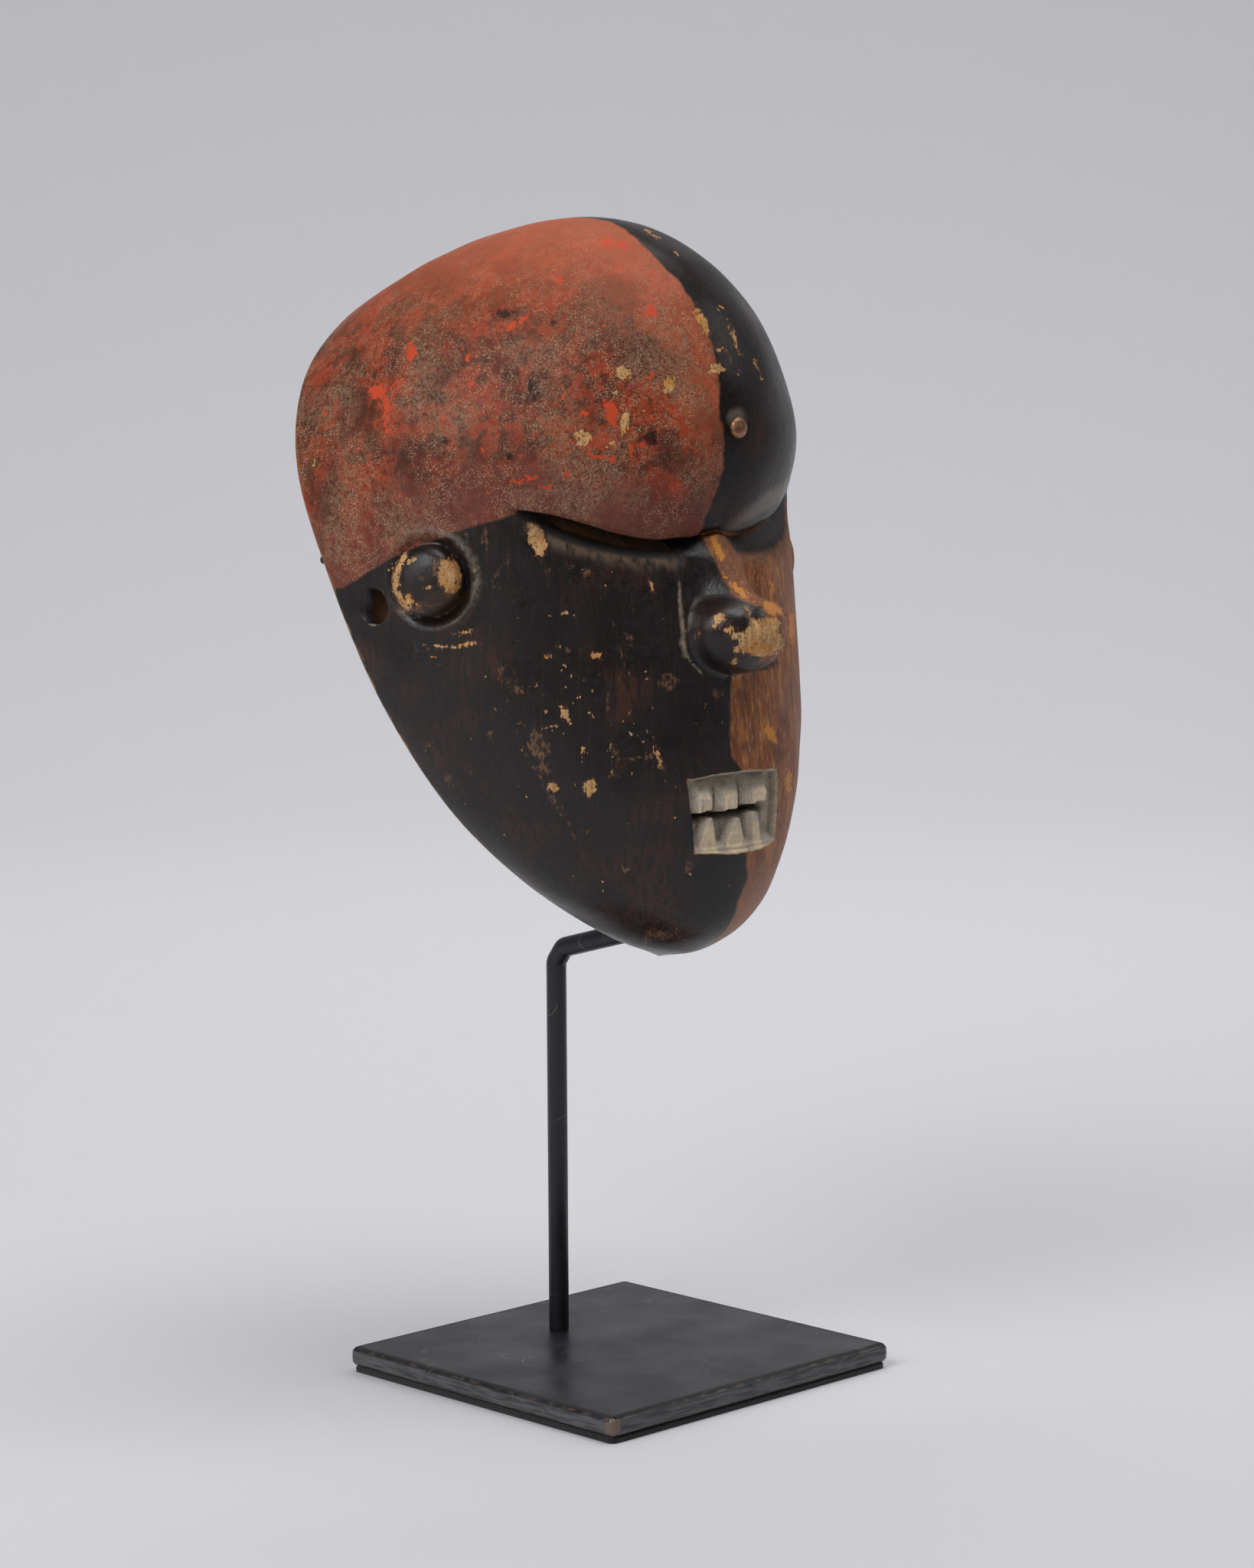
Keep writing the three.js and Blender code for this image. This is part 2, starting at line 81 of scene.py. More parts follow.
SLIT = {"angles": (12.5, 38), "height": 2.2, "below": 1.2, "rise": 0.95, "front": 3, "back": 16}
NOSE = {"root_z": 334, "root_y": -60, "slope": 0.5, "curl": 0.0135, "tip_z": 309, "fade_slope": 1.3,
        "half_width": 21, "roundness": 0.2, "concavity": 2.5}
BULB = {"x": 0.6, "y": -69.5, "z": 299.2, "across": 20.4, "out": 17, "up": 11.6, "down": 18.2,
        "squareness": 2.2, "overhang": 0.05, "soft": 0.8}
MOUTH = {"z": 228.9, "top": 46.4, "bottom": 42.6, "height": 26.4, "bow": 1.5, "lean": 0.9, "sill": 3.6,
         "flatter": 2.6, "gap": 3.2, "u": 0.29, "degrees_per_mm": 0.7}
KNOB_U = 0.487
KNOB_ANGLES = (-64.9, 68.0)
# The groove round a knob and the low lip outside it: height, distance from the knob and spread.
KNOB_GROOVE = (-2.0, 0.6, 2.2)
KNOB_LIP = (0.45, 5.6, 1.5)
SIDE_HOLE = {"u": 0.47, "angle": 79.2, "toward_back": 0.174}
TACK_U = 0.591

PLATE_SIDE = 152
PLATE_BOTTOM = 2.3
PLATE_TOP = 10.2
FELT_SIDE = 150
FELT_TOP = 2.0
ROD_CORNERS = ((0, 35, 10.2), (0, 33.4, 160.6), (0, 28.6, 166.8), (0, -30, 182.4))
RISER_ENDS = ((0, -10.6, 178.4), (0, 58.4, 330.5))
CROSSBAR_ENDS = ((-101, 51.3, 325), (101, 51.3, 325))


# Settings

def length(name, description, default):
    return FloatProperty(name=name, description=description, default=default, unit="LENGTH")


def power(name, description, default):
    return FloatProperty(name=name, description=description, default=default, unit="POWER")


def colour(name, description, red, green, blue):
    """A colour setting from its red, green and blue as seen on a screen, 0 to 255."""
    linear = [((part / 255 + 0.055) / 1.055) ** 2.4 for part in (red, green, blue)]
    return FloatVectorProperty(name=name, description=description, subtype="COLOR", size=3,
                               min=0, max=1, default=linear)


class MaskSettings(bpy.types.PropertyGroup):
    """Sizes of the carved mask"""
    wall: length("Wall", "Thickness of the wood at the face", 0.013)
    slot_depth: length("Eye slot depth", "How deep each slot is cut under the brow", 0.0085)
    brow_round: length("Brow round", "Radius of the brow's lower edge", 0.006)
    knob_radius: length("Knob radius", "Radius of the knobs on the temples", 0.0134)
    knob_height: length("Knob height", "How far the knobs stand out", 0.0105)
    hole_radius: length("Side hole radius", "Radius of the holes in the sides", 0.0068)
    mouth_depth: length("Mouth depth", "Depth of the sunk mouth", 0.0066)
    tooth_height: length("Tooth height", "How far the teeth stand off the mouth's floor", 0.0043)


class StandSettings(bpy.types.PropertyGroup):
    """Sizes of the stand and the tack"""
    rod_radius: length("Rod radius", "Radius of the bent rod", 0.004)
    riser_radius: length("Riser radius", "Radius of the upright behind the mask", 0.0025)
    crossbar_radius: length("Crossbar radius", "Radius of the bar behind the rim", 0.0015)
    corner_round: length("Plate corner round", "Rounding of the plate's corners and edges", 0.003)
    edge_round: length("Plate edge round", "Second rounding of the plate's level edges", 0.0013)
    tack_radius: length("Tack radius", "Radius of the tack's head", 0.004)


class FinishSettings(bpy.types.PropertyGroup):
    """Colours of the paint, the wood and the metal"""
    red: colour("Brick red", "Paint of the forehead's right half", 148, 58, 32)
    dull_red: colour("Dull red", "The red where it is rubbed and dirty", 92, 42, 27)
    # Painted light: a lighter red laid on the top of the forehead as if lit from above; it also lightens the
    # upper forehead beside the black.
    crown: colour("Crown red", "The cleaner red of the crown", 188, 92, 54)
    plum: colour("Plum", "The red low on the brow", 106, 57, 47)
    vermilion: colour("Vermilion", "Fresh flakes in the red", 198, 72, 40)
    grime: colour("Grime", "Fine pale grit in the red", 190, 152, 120)
    black: colour("Soot black", "Paint of the right cheek and the forehead's left half", 21, 15, 13)
    ochre: colour("Ochre", "Paint of the left cheek", 144, 80, 34)
    yellow: colour("Yellow ochre", "Streaks in the ochre", 198, 128, 46)
    bare: colour("Bare wood", "Wood where the paint is gone", 220, 172, 114)
    tan: colour("Rubbed tan", "Wood where the paint is rubbed thin", 116, 80, 52)
    brown: colour("Brown", "Brown that shows through worn paint", 78, 43, 26)
    dust: colour("Pale dust", "White clay dust in the corners", 174, 158, 138)
    clay: colour("White clay", "Clay of the mouth and teeth", 196, 184, 166)
    cream: colour("Worn clay", "Worn fronts of the teeth", 232, 210, 172)
    raw: colour("Raw wood", "Unpainted wood of the hollow", 106, 74, 49)
    steel: colour("Black steel", "Paint of the stand", 27, 27, 30)
    copper: colour("Copper", "Head of the tack", 158, 114, 82)


class StageSettings(bpy.types.PropertyGroup):
    """The floor and the lights"""
    floor: colour("Floor", "The plain studio floor", 222, 222, 226)
    top: power("Top light", "Power of the main soft light overhead", 19.5)
    side: power("Side light", "Power of the light on the mask's right", 24.5)
    fill: power("Fill light", "Power of the light on the mask's left", 4.5)
    low: power("Low light", "Power of the light near the floor", 4.5)
    backdrop: power("Backdrop light", "Power of the light on the wall behind", 34)


# The carved form, in millimetres

def through(points, u):
    """The smooth curve that passes through the rows of points at even steps of u."""
    count = len(points) - 1
    x = np.clip(u, 0, 1) * count
    i = np.minimum(x.astype(int), count - 1)
    t = (x - i)[..., None]
    more = np.vstack([2 * points[0] - points[1], points, 2 * points[-1] - points[-2]])
    a, b, c, d = more[i], more[i + 1], more[i + 2], more[i + 3]
    bend, twist = 2 * a - 5 * b + 4 * c - d, 3 * b - a - 3 * c + d
    return 0.5 * (2 * b + (c - a) * t + bend * t ** 2 + twist * t ** 3)


def form_point(u, degrees, sections=SECTIONS):
    """Points of the form at u along it, 0 to 1 from chin to crown, and at an angle round the rib."""
    u, degrees = np.broadcast_arrays(np.asarray(u, float), np.asarray(degrees, float))
    row = through(sections, u)
    angle = np.radians(degrees)
    forward = np.abs(np.cos(angle)) ** (2 / RIB_FULLNESS)
    across = np.sign(angle) * np.abs(np.sin(angle)) ** (2 / RIB_FULLNESS)
    y = row[..., 2] + (row[..., 0] - row[..., 2]) * forward
    z = row[..., 3] + (row[..., 1] - row[..., 3]) * forward
    return np.stack([row[..., 4] * across, y, z], -1)


def inset_sections(face, side, chin, crown):
    """The sections of the same form shrunk inside a wall."""
    chin_end, crown_end = SECTIONS[0, 2:4], SECTIONS[-1, 2:4]
    whole = np.linalg.norm(crown_end - chin_end)
    up = (crown_end - chin_end) / whole
    back = np.array([up[1], -up[0]])
    deepest = -((SECTIONS[:, :2] - chin_end) @ back).min()
    shrunk = SECTIONS.copy()
    for first in (0, 2):
        offset = SECTIONS[:, first:first + 2] - chin_end
        along = chin + offset @ up * (1 - (chin + crown) / whole)
        deep = offset @ back * (1 - face / deepest)
        shrunk[:, first:first + 2] = chin_end + along[:, None] * up + deep[:, None] * back
    shrunk[:, 4] *= 1 - side / SECTIONS[:, 4].max()
    return shrunk


def rim_line(side):
    """Points along the rim from chin to crown, on the mask's right side, -1, or its left, 1."""
    return form_point(np.linspace(0, 1, 400), side * 90)


def find_on_form(x, z, u, degrees):
    """Where on the form, near u and degrees, it stands at x and z."""
    small_u, small_turn, end = 1e-4, 1e-2, 0.01
    for _ in range(5):
        here = form_point(u, degrees)
        by_u = (form_point(u + small_u, degrees) - here) / small_u
        by_a = (form_point(u, degrees + small_turn) - here) / small_turn
        miss_x, miss_z = x - here[..., 0], z - here[..., 2]
        turn = by_u[..., 0] * by_a[..., 2] - by_u[..., 2] * by_a[..., 0]
        turn = np.where(np.abs(turn) < 1, 1, turn)
        u = np.clip(u + (miss_x * by_a[..., 2] - miss_z * by_a[..., 0]) / turn, end, 1 - end)
        degrees = np.clip(degrees + (miss_z * by_u[..., 0] - miss_x * by_u[..., 2]) / turn, -89, 89)
    return u, degrees


def smoothstep(value, low, high):
    t = np.clip((value - low) / (high - low), 0, 1)
    return t * t * (3 - 2 * t)


def bell(distance, spread):
    return np.exp(-((distance / spread) ** 2))


def waves(values, *sizes):
    """A fixed irregular wave for hand-cut edges, from (height, rate, phase) triples."""
    return sum(height * np.sin(values * rate + phase) for height, rate, phase in sizes)


def along_line(line, x):
    curve = through(line, np.linspace(0, 1, 61))
    return np.interp(np.abs(x), curve[:, 0], curve[:, 1])


def brow_z(x):
    """Height of the brow's edge. It was cut a little higher over the left eye."""
    rise = smoothstep(x, *LEFT_BROW_RISE["from"]) * (1 - smoothstep(x, *LEFT_BROW_RISE["to"]))
    return along_line(BROW_EDGE, x) + LEFT_BROW_RISE["height"] * rise


def lip_z(x):
    return along_line(CHEEK_LIP, x)


def slot_depth(x, z):
    """How far the slot under the brow is cut back at x and z."""
    mask = bpy.context.scene.face_mask
    above = z - brow_z(x)
    inward = np.clip(1 - above / (mask.brow_round / MM), 0, 1)
    down = -above / np.maximum(1, brow_z(x) - lip_z(x))
    sharp = SLOT["sharpness"]
    floor = np.logaddexp(0, sharp * (1 - down)) / np.logaddexp(0, sharp)
    section = np.where(above > 0, 1 - np.sqrt(1 - inward ** 2), floor)
    over_nose = SLOT["over_nose"]
    beside = over_nose + (1 - over_nose) * smoothstep(np.abs(x), *SLOT["beside_nose"])
    return mask.slot_depth / MM * beside * (1 - smoothstep(np.abs(x), *SLOT["fade"])) * section


def broad_depth(x, z):
    """The shallow hollow round the eyes and the corners beside the nose's root."""
    above = z - brow_z(x)
    spread = np.where(above > 0, EYE_HOLLOW["above"], EYE_HOLLOW["below"])
    broad = EYE_HOLLOW["depth"] * (1 - smoothstep(np.abs(x), *EYE_HOLLOW["fade"])) * bell(above, spread)
    corner = INNER_CORNER
    beside = bell(np.abs(x) - corner["x"], corner["across"]) * bell(z - corner["z"], corner["tall"])
    return broad + corner["depth"] * beside


def nose_ridge_y(z):
    drop = np.maximum(0, NOSE["root_z"] - np.maximum(z, NOSE["tip_z"]))
    ridge = NOSE["root_y"] - NOSE["slope"] * drop - NOSE["curl"] * drop ** 2
    return ridge + NOSE["fade_slope"] * np.maximum(0, NOSE["tip_z"] - z)


def nose_section(x):
    """1 on the ridge of the nose, 0 at its foot on each side."""
    out = np.minimum(1, np.abs(x) / NOSE["half_width"])
    roundness = NOSE["roundness"]
    fall = (np.hypot(out, roundness) - roundness) / (np.hypot(1, roundness) - roundness)
    return (1 - fall) ** NOSE["concavity"]


def carved_y(x, y, z):
    """y of the face after the eyes and the nose's ridge are carved, where the plain form has y."""
    carved = y + broad_depth(x, z) + slot_depth(x, z)
    ridge = nose_ridge_y(z)
    on_nose = (z < brow_z(x)) & (ridge < carved)
    return np.where(on_nose, carved + (ridge - carved) * nose_section(x), carved)


def crowded(low, high, count, bumps):
    """count + 1 values from low to high, closer together round each bump (centre, spread, gain)."""
    fine = np.linspace(low, high, 4001)
    middle = (fine[1:] + fine[:-1]) / 2
    density = 1 + sum(gain * np.exp(-(((middle - centre) / spread) ** 2)) for centre, spread, gain in bumps)
    total = np.concatenate([[0], np.cumsum(density)])
    return np.interp(np.linspace(0, total[-1], count + 1), total, fine)


def brow_level(degrees):
    """Where the brow's edge crosses the rib line at an angle."""
    low, high = np.full_like(degrees, 0.4), np.full_like(degrees, 0.7)
    for _ in range(24):
        middle = (low + high) / 2
        point = form_point(middle, degrees)
        under = point[..., 2] < brow_z(point[..., 0])
        low, high = np.where(under, middle, low), np.where(under, high, middle)
    return low


def form_frame(u, degrees):
    """A point of the form with the directions across, up and out of the wood there."""
    centre = form_point(u, degrees)
    along = form_point(u + 1e-3, degrees) - form_point(u - 1e-3, degrees)
    across = form_point(u, degrees + 1) - form_point(u, degrees - 1)
    out = np.cross(across, along)
    out /= np.linalg.norm(out)
    return centre, *directions_about(out)


def directions_about(out):
    """Level and upward directions square to the direction out, and out itself."""
    across = np.array([-out[1], out[0], 0])
    across /= np.linalg.norm(across)
    return across, np.cross(out, across), out


def raise_bulb(points, u, degrees):
    """The knob on the end of the nose. Points inside its outline are spread over its dome."""
    x, z = points[..., 0] - BULB["x"], points[..., 2]
    px = x / BULB["across"]
    pz = (z - BULB["z"]) / np.where(z > BULB["z"], BULB["up"], BULB["down"])
    square, edge = BULB["squareness"], 1 + BULB["overhang"]
    reach = (np.abs(px) ** square + np.abs(pz) ** square) ** (1 / square)
    dome_end, wall_end, plain_again = 0.8, 0.98, 1.4
    near, on_dome = reach < plain_again, reach < dome_end
    dome = np.sin(np.pi / 2 * np.clip(reach / dome_end, 0, 1))
    into_wall = np.clip((reach - dome_end) / (wall_end - dome_end), 0, 1)
    outside = edge + (reach - wall_end) * (plain_again - edge) / (plain_again - wall_end)
    new_reach = np.where(reach < wall_end, 1 + BULB["overhang"] * into_wall, outside)
    new_reach = np.where(on_dome, dome, new_reach)
    scale = np.where(near, new_reach / np.maximum(reach, 1e-6), 1)
    new_x = np.where(near, BULB["x"] + x * scale, points[..., 0])
    new_z = np.where(near, BULB["z"] + (z - BULB["z"]) * scale, z)
    new_u, new_degrees = find_on_form(new_x, new_z, u, degrees)
    form = form_point(np.where(near, new_u, u), np.where(near, new_degrees, degrees))
    y = carved_y(form[..., 0], form[..., 1], form[..., 2])
    dome_y = BULB["y"] - BULB["out"] * np.sqrt(np.clip(1 - np.minimum(dome, 1) ** 2, 0, 1))
    wall_y = np.maximum(BULB["y"] + (y - BULB["y"]) * into_wall, BULB["y"])
    knob_y = np.where(on_dome, dome_y, wall_y)
    soft = BULB["soft"]
    mixed = -soft * np.logaddexp(-knob_y / soft, -y / soft)
    form[..., 1] = np.where(reach < wall_end, mixed, y)
    return form


def sink_rings(points):
    """The shallow ring groove round each knob on the temples."""
    radius = bpy.context.scene.face_mask.knob_radius / MM
    for degrees in KNOB_ANGLES:
        centre, across, up, out = form_frame(KNOB_U, degrees)
        offset = points - centre
        reach = np.hypot(offset @ across, offset @ up)
        near = (offset @ out > -20) & (reach < 2.2 * radius)
        raised = sum(height * bell(reach - radius - away, spread)
                     for height, away, spread in (KNOB_GROOVE, KNOB_LIP))
        points = points + np.where(near, raised, 0)[..., None] * out
    return points


def smooth_grid(points, weight, times):
    """Averages each point of a grid with its neighbours, by its weight."""
    for _ in range(times):
        mean = points.copy()
        mean[1:-1, 1:-1] = (points[:-2, 1:-1] + points[2:, 1:-1] + points[1:-1, :-2] + points[1:-1, 2:]) / 4
        points = points + (mean - points) * weight[..., None]
    return points


def hand_uneven(points):
    """The slight unevenness that a blade leaves, as a shift in millimetres out of the wood."""
    x, y, z = points[..., 0], points[..., 1], points[..., 2]
    return (0.16 * np.sin(x / 5.1 + z / 13) * np.sin(z / 7.3 - y / 9)
            + 0.12 * np.sin(x / 11 - z / 6.1 + 1.3) + 0.10 * np.sin(y / 4.7 + z / 9.7 + 2.1))


# Where the skin's rows and ribs lie closer together: centre, spread and gain.
CLOSE_ROWS = ((0.36, 0.14, 1.2), (0.5, 0.016, 7.5))
CLOSE_RIBS = ((0, 26, 2.0), (-65, 9, 1.0), (65, 9, 1.0))
BROW_ROW = 0.5
FRONT = 75
BULB_CREASE = {"z": 304, "tall": 16, "across": 30, "y": -52}
MIDDLE = (0, 30, 315)


def outer_skin(rows, ribs):
    """The carved outside of the mask as a grid of points, from chin to crown and from rim to rim."""
    row = crowded(0, 1, rows, CLOSE_ROWS)[:, None]
    angles = crowded(-90, 90, ribs, CLOSE_RIBS)
    brow = brow_level(angles)[None]
    u = np.where(row < BROW_ROW, brow * row / BROW_ROW, 1 - (1 - brow) * (1 - row) / (1 - BROW_ROW))
    degrees = np.broadcast_to(angles[None], u.shape)
    form = form_point(u, degrees)
    front = np.abs(degrees) < FRONT
    skin = np.where(front[..., None], raise_bulb(form, u, degrees), form)
    tilt = SLOT["tilt"] * slot_depth(form[..., 0], form[..., 2]) * smoothstep(np.abs(form[..., 0]), 10, 20)
    skin[..., 2] += np.where(front, tilt, 0)
    crease = bell(np.abs(skin[..., 2] - BULB_CREASE["z"]), BULB_CREASE["tall"])
    crease = crease * bell(skin[..., 0], BULB_CREASE["across"]) * (skin[..., 1] < BULB_CREASE["y"])
    skin = sink_rings(smooth_grid(skin, 0.5 * crease, 4))
    away = skin - np.array(MIDDLE)
    away /= np.linalg.norm(away, axis=-1)[..., None]
    off_rim = smoothstep(90 - np.abs(degrees), 0, 8)
    return skin + (hand_uneven(skin) * off_rim)[..., None] * away


# How much wood is left inside the hollow at the sides, the chin and the crown, and where the wall is
# thinned or thickened: the height and spread of the place, where it fades across, and by how much.
WALL_LEFT = {"side": 9, "chin": 6, "crown": 9}
BEHIND_EYES = (328, 19, (62, 88), 9)
BEHIND_MOUTH = (228.9, 18, (26, 48), 5)
SIDE_PAD = {"z": 308, "tall": 14, "y": 21, "deep": 12, "from": (60, 80), "share": 0.045}


def inner_skin(rows, ribs):
    """The hollow's surface, which meets the back of the rim along its edge."""
    sections = inset_sections(bpy.context.scene.face_mask.wall / MM, **WALL_LEFT)
    u = np.linspace(0, 1, rows + 1)[:, None]
    degrees = np.linspace(-90, 90, ribs + 1)[None]
    points = form_point(u, degrees, sections)
    rim = rim_line(1)
    shift = np.interp(points[:, -1, 2], rim[:, 2], rim[:, 1]) - points[:, -1, 1]
    points[..., 1] += shift[:, None] * smoothstep(np.abs(degrees), 50, 90)
    x, y, z = np.abs(points[..., 0]), points[..., 1], points[..., 2]
    y += sum(by * (bell(z - at, spread) * (1 - smoothstep(x, *fade)))
             for at, spread, fade, by in (BEHIND_EYES, BEHIND_MOUTH))
    pad = bell(z - SIDE_PAD["z"], SIDE_PAD["tall"]) * bell(y - SIDE_PAD["y"], SIDE_PAD["deep"])
    points[..., 0] *= 1 - SIDE_PAD["share"] * (pad * smoothstep(x, *SIDE_PAD["from"]))
    return points


# Meshes

def deselect_all():
    if bpy.context.object and bpy.context.object.mode != "OBJECT":
        bpy.ops.object.mode_set(mode="OBJECT")
    bpy.ops.object.select_all(action="DESELECT")


def make_active(obj):
    deselect_all()
    obj.select_set(True)
    bpy.context.view_layer.objects.active = obj


def grid_object(name, points):
    """A grid primitive with its vertices moved to an array of points in millimetres."""
    rows, columns = points.shape[:2]
    deselect_all()
    bpy.ops.mesh.primitive_grid_add(x_subdivisions=columns - 1, y_subdivisions=rows - 1, size=1)
    grid = bpy.context.object
    grid.name = name
    grid.data.vertices.foreach_set("co", (points * MM).astype(np.float32).ravel())
    grid.data.update()
    return grid


def join(objects, name):
    deselect_all()
    for piece in objects:
        piece.select_set(True)
    bpy.context.view_layer.objects.active = objects[0]
    bpy.ops.object.join()
    objects[0].name = name
    return objects[0]


def edit(obj, work):
    """Runs work on the object's mesh in a bmesh and writes it back."""
    mesh = bmesh.new()
    mesh.from_mesh(obj.data)
    result = work(mesh)
    mesh.to_mesh(obj.data)
    mesh.free()
    obj.data.update()
    return result


def close_shell(obj):
    """Merges the doubles, bridges the two open edges and turns the faces outwards."""
    def work(mesh):
        bmesh.ops.remove_doubles(mesh, verts=mesh.verts, dist=2e-6)
        bmesh.ops.bridge_loops(mesh, edges=[edge for edge in mesh.edges if edge.is_boundary])
        bmesh.ops.recalc_face_normals(mesh, faces=mesh.faces)
        if mesh.calc_volume(signed=True) < 0:
            bmesh.ops.reverse_faces(mesh, faces=mesh.faces)
        return sum(edge.is_boundary for edge in mesh.edges)
    if edit(obj, work):
        raise RuntimeError(f"the shell of {obj.name} isn't closed")


def apply_modifier(obj, kind, **values):
    make_active(obj)
    modifier = obj.modifiers.new(kind.title(), kind)
    for key, value in values.items():
        setattr(modifier, key, value)
    bpy.ops.object.modifier_apply(modifier=modifier.name)


def combine(obj, other, operation):
    """Cuts the other solid out of the object, or joins it on, and removes the other."""
    before = len(obj.data.vertices)
    apply_modifier(obj, "BOOLEAN", operation=operation, object=other, solver="MANIFOLD")
    if len(obj.data.vertices) in (0, before):
        raise RuntimeError(f"{other.name} doesn't meet {obj.name}")
    bpy.data.objects.remove(other)


def loft(name, rings):
    """A closed solid through rings of points in millimetres, capped at both ends."""
    mesh = bmesh.new()
    made = [[mesh.verts.new(Vector(p) * MM) for p in ring] for ring in rings]
    count = len(rings[0])
    for low, high in zip(made[:-1], made[1:]):
        for k in range(count):
            mesh.faces.new((low[k], low[(k + 1) % count], high[(k + 1) % count], high[k]))
    mesh.faces.new(made[0])
    mesh.faces.new(made[-1])
    bmesh.ops.remove_doubles(mesh, verts=mesh.verts, dist=1e-7)
    bmesh.ops.recalc_face_normals(mesh, faces=mesh.faces)
    data = bpy.data.meshes.new(name)
    mesh.to_mesh(data)
    mesh.free()
    obj = bpy.data.objects.new(name, data)
    bpy.context.scene.collection.objects.link(obj)
    return obj


def hand_turned(name, centre, directions, profile, uneven, segments=64):
    """A round solid from (radius, height) pairs, with the slight unevenness of hand work."""
    across, up, out = directions
    turns = np.linspace(0, 2 * np.pi, segments, endpoint=False)
    wobble = 1 + uneven * np.sin(2 * turns + 0.6) + 0.6 * uneven * np.sin(5 * turns + 2)
    rings = [centre + (radius * wobble * np.cos(turns))[:, None] * across
             + (radius * wobble * np.sin(turns))[:, None] * up + height * out for radius, height in profile]
    return loft(name, rings)


def knob_solid(degrees):
    """One domed knob. Its foot reaches into the wood."""
    mask = bpy.context.scene.face_mask
    radius, height = mask.knob_radius / MM, mask.knob_height / MM
    centre, *directions = form_frame(KNOB_U, degrees)
    foot, wall, squareness = -5, 0.33, 0.8
    profile = [(radius * 1.02, foot)]
    for t in np.radians(np.linspace(0, 88, 22)):
        profile.append((radius * math.cos(t) ** squareness, height * (wall + (1 - wall) * math.sin(t))))
    return hand_turned("knob", centre, directions, profile, 0.012, 96)


def side_hole_axis(side):
    """Where a side hole meets the form, and its direction outwards."""
    out = np.array([side, SIDE_HOLE["toward_back"], 0])
    return form_point(SIDE_HOLE["u"], side * SIDE_HOLE["angle"]), out / np.linalg.norm(out)


def side_hole_drill(side):
    """The cutter of one side hole. The hole narrows inwards and leans to the front."""
    radius = bpy.context.scene.face_mask.hole_radius / MM
    centre, out = side_hole_axis(side)
    across, up, out = directions_about(out)
    profile = [(0.74, -26), (0.8, -12), (0.93, -3), (1.0, -0.4), (1.14, 1.2), (1.7, 6)]
    return hand_turned("side_hole", centre, (across * 0.86, up, out),
                       [(radius * wide, height) for wide, height in profile], 0.02)


def slit_cutter(side):
    """The narrow slit behind one eye slot. It rises towards the inside."""
    start, end = SLIT["angles"]
    rings = []
    for k in np.linspace(0.01, 0.99, 33):
        angle = side * (start + (end - start) * k)
        edge = form_point(brow_level(np.array([angle]))[0], angle)
        floor_z = edge[2] - SLIT["below"]
        deep = slot_depth(edge[0], floor_z)
        floor_y = edge[1] + broad_depth(edge[0], floor_z) + deep
        floor_z += SLOT["tilt"] * deep
        half = SLIT["height"] / 2 * math.sqrt(max(0, 1 - (2 * k - 1) ** 4))
        rings.append([(edge[0], floor_y + away, floor_z + away * SLIT["rise"] + rise) for away, rise in (
            (-SLIT["front"], -half), (SLIT["back"], -half), (SLIT["back"], half), (-SLIT["front"], half))])
    return loft("slit", rings)


# The teeth from the mask's right to its left, in millimetres. Along its root and along its tip, each
# tooth's left facet starts, its face starts and ends, and its right facet ends, at these places across.
UPPER_TEETH = (
    {"root": (-22.9, -18.7, -14.1, -10.3), "tip": (-22.9, -18.9, -14.3, -10.5), "z": 230.2},
    {"root": (-10.3, -6.9, -1.0, 2.7), "tip": (-10.2, -6.5, -1.2, 2.4), "z": 230.0},
    {"root": (2.7, 8.0, 15.8, 18.8), "tip": (3.2, 8.9, 15.3, 18.2), "z": 231.5},
)
LOWER_TEETH = (
    {"root": (-21.8, -17.4, -10.3, -7.7), "tip": (-16.0, -14.4, -13.7, -13.0), "z": 227.8},
    {"root": (-7.7, -4.8, 4.1, 6.8), "tip": (-2.4, -0.6, 0.2, 1.2), "z": 226.7},
    {"root": (6.4, 10.0, 13.8, 17.5), "tip": (4.6, 8.3, 10.4, 12.0), "z": 228.1},
)


def mouth_width(up):
    """The mouth's width at a share of its height, from -1 at the bottom to 1 at the top."""
    return MOUTH["bottom"] + (MOUTH["top"] - MOUTH["bottom"]) * (up + 1) / 2


def mouth_gap(x, z):
    """How far a place is above the middle of the dark gap between the rows of teeth."""
    return z - MOUTH["z"] - 0.03 * x


def tooth_relief(x, z):
    """How far the teeth stand off the mouth's floor, in shares of their height, and where they are worn."""
    low, high = MOUTH["z"] - MOUTH["height"] / 2, MOUTH["z"] + MOUTH["height"] / 2
    relief = 0.9 * np.clip(1 - (z - low) / MOUTH["sill"], 0, 1)
    worn = np.zeros_like(x)
    for i, tooth in enumerate(UPPER_TEETH + LOWER_TEETH):
        upper = tooth in UPPER_TEETH
        root_z = high if upper else low + MOUTH["sill"] / 2
        middle = (tooth["root"][1] + tooth["root"][2]) / 2
        uneven = waves(x, (0.22, 1.1, i), (0.12, 2.3, 2 * i))
        tip_z = tooth["z"] + 0.1 * upper * (x - middle) + uneven
        t = np.clip((z - root_z) / (tip_z - root_z), 0, 1)
        start, left, right, end = (a + (b - a) * t for a, b in zip(tooth["root"], tooth["tip"]))
        side = np.clip(np.minimum((x - start) / (left - start), (end - x) / (end - right)), 0, 1)
        within = smoothstep((z - tip_z) * (1 if upper else -1), -0.3, 0.3)
        if upper:
            gum = np.clip((high + 1 - z) / 8, 0, 1)
            block = ((x > start) & (x < end)) * (0.22 + 0.78 * side) * gum
            near_tip = smoothstep(t, 0.35, 0.6)
        else:
            block = side * (0.72 + 0.28 * t)
            near_tip = smoothstep(1 - t, 0.1, 0.5)
        relief = np.maximum(relief, block * within)
        worn = np.maximum(worn, within * smoothstep(side, 0.75, 1) * near_tip)
    return relief, worn


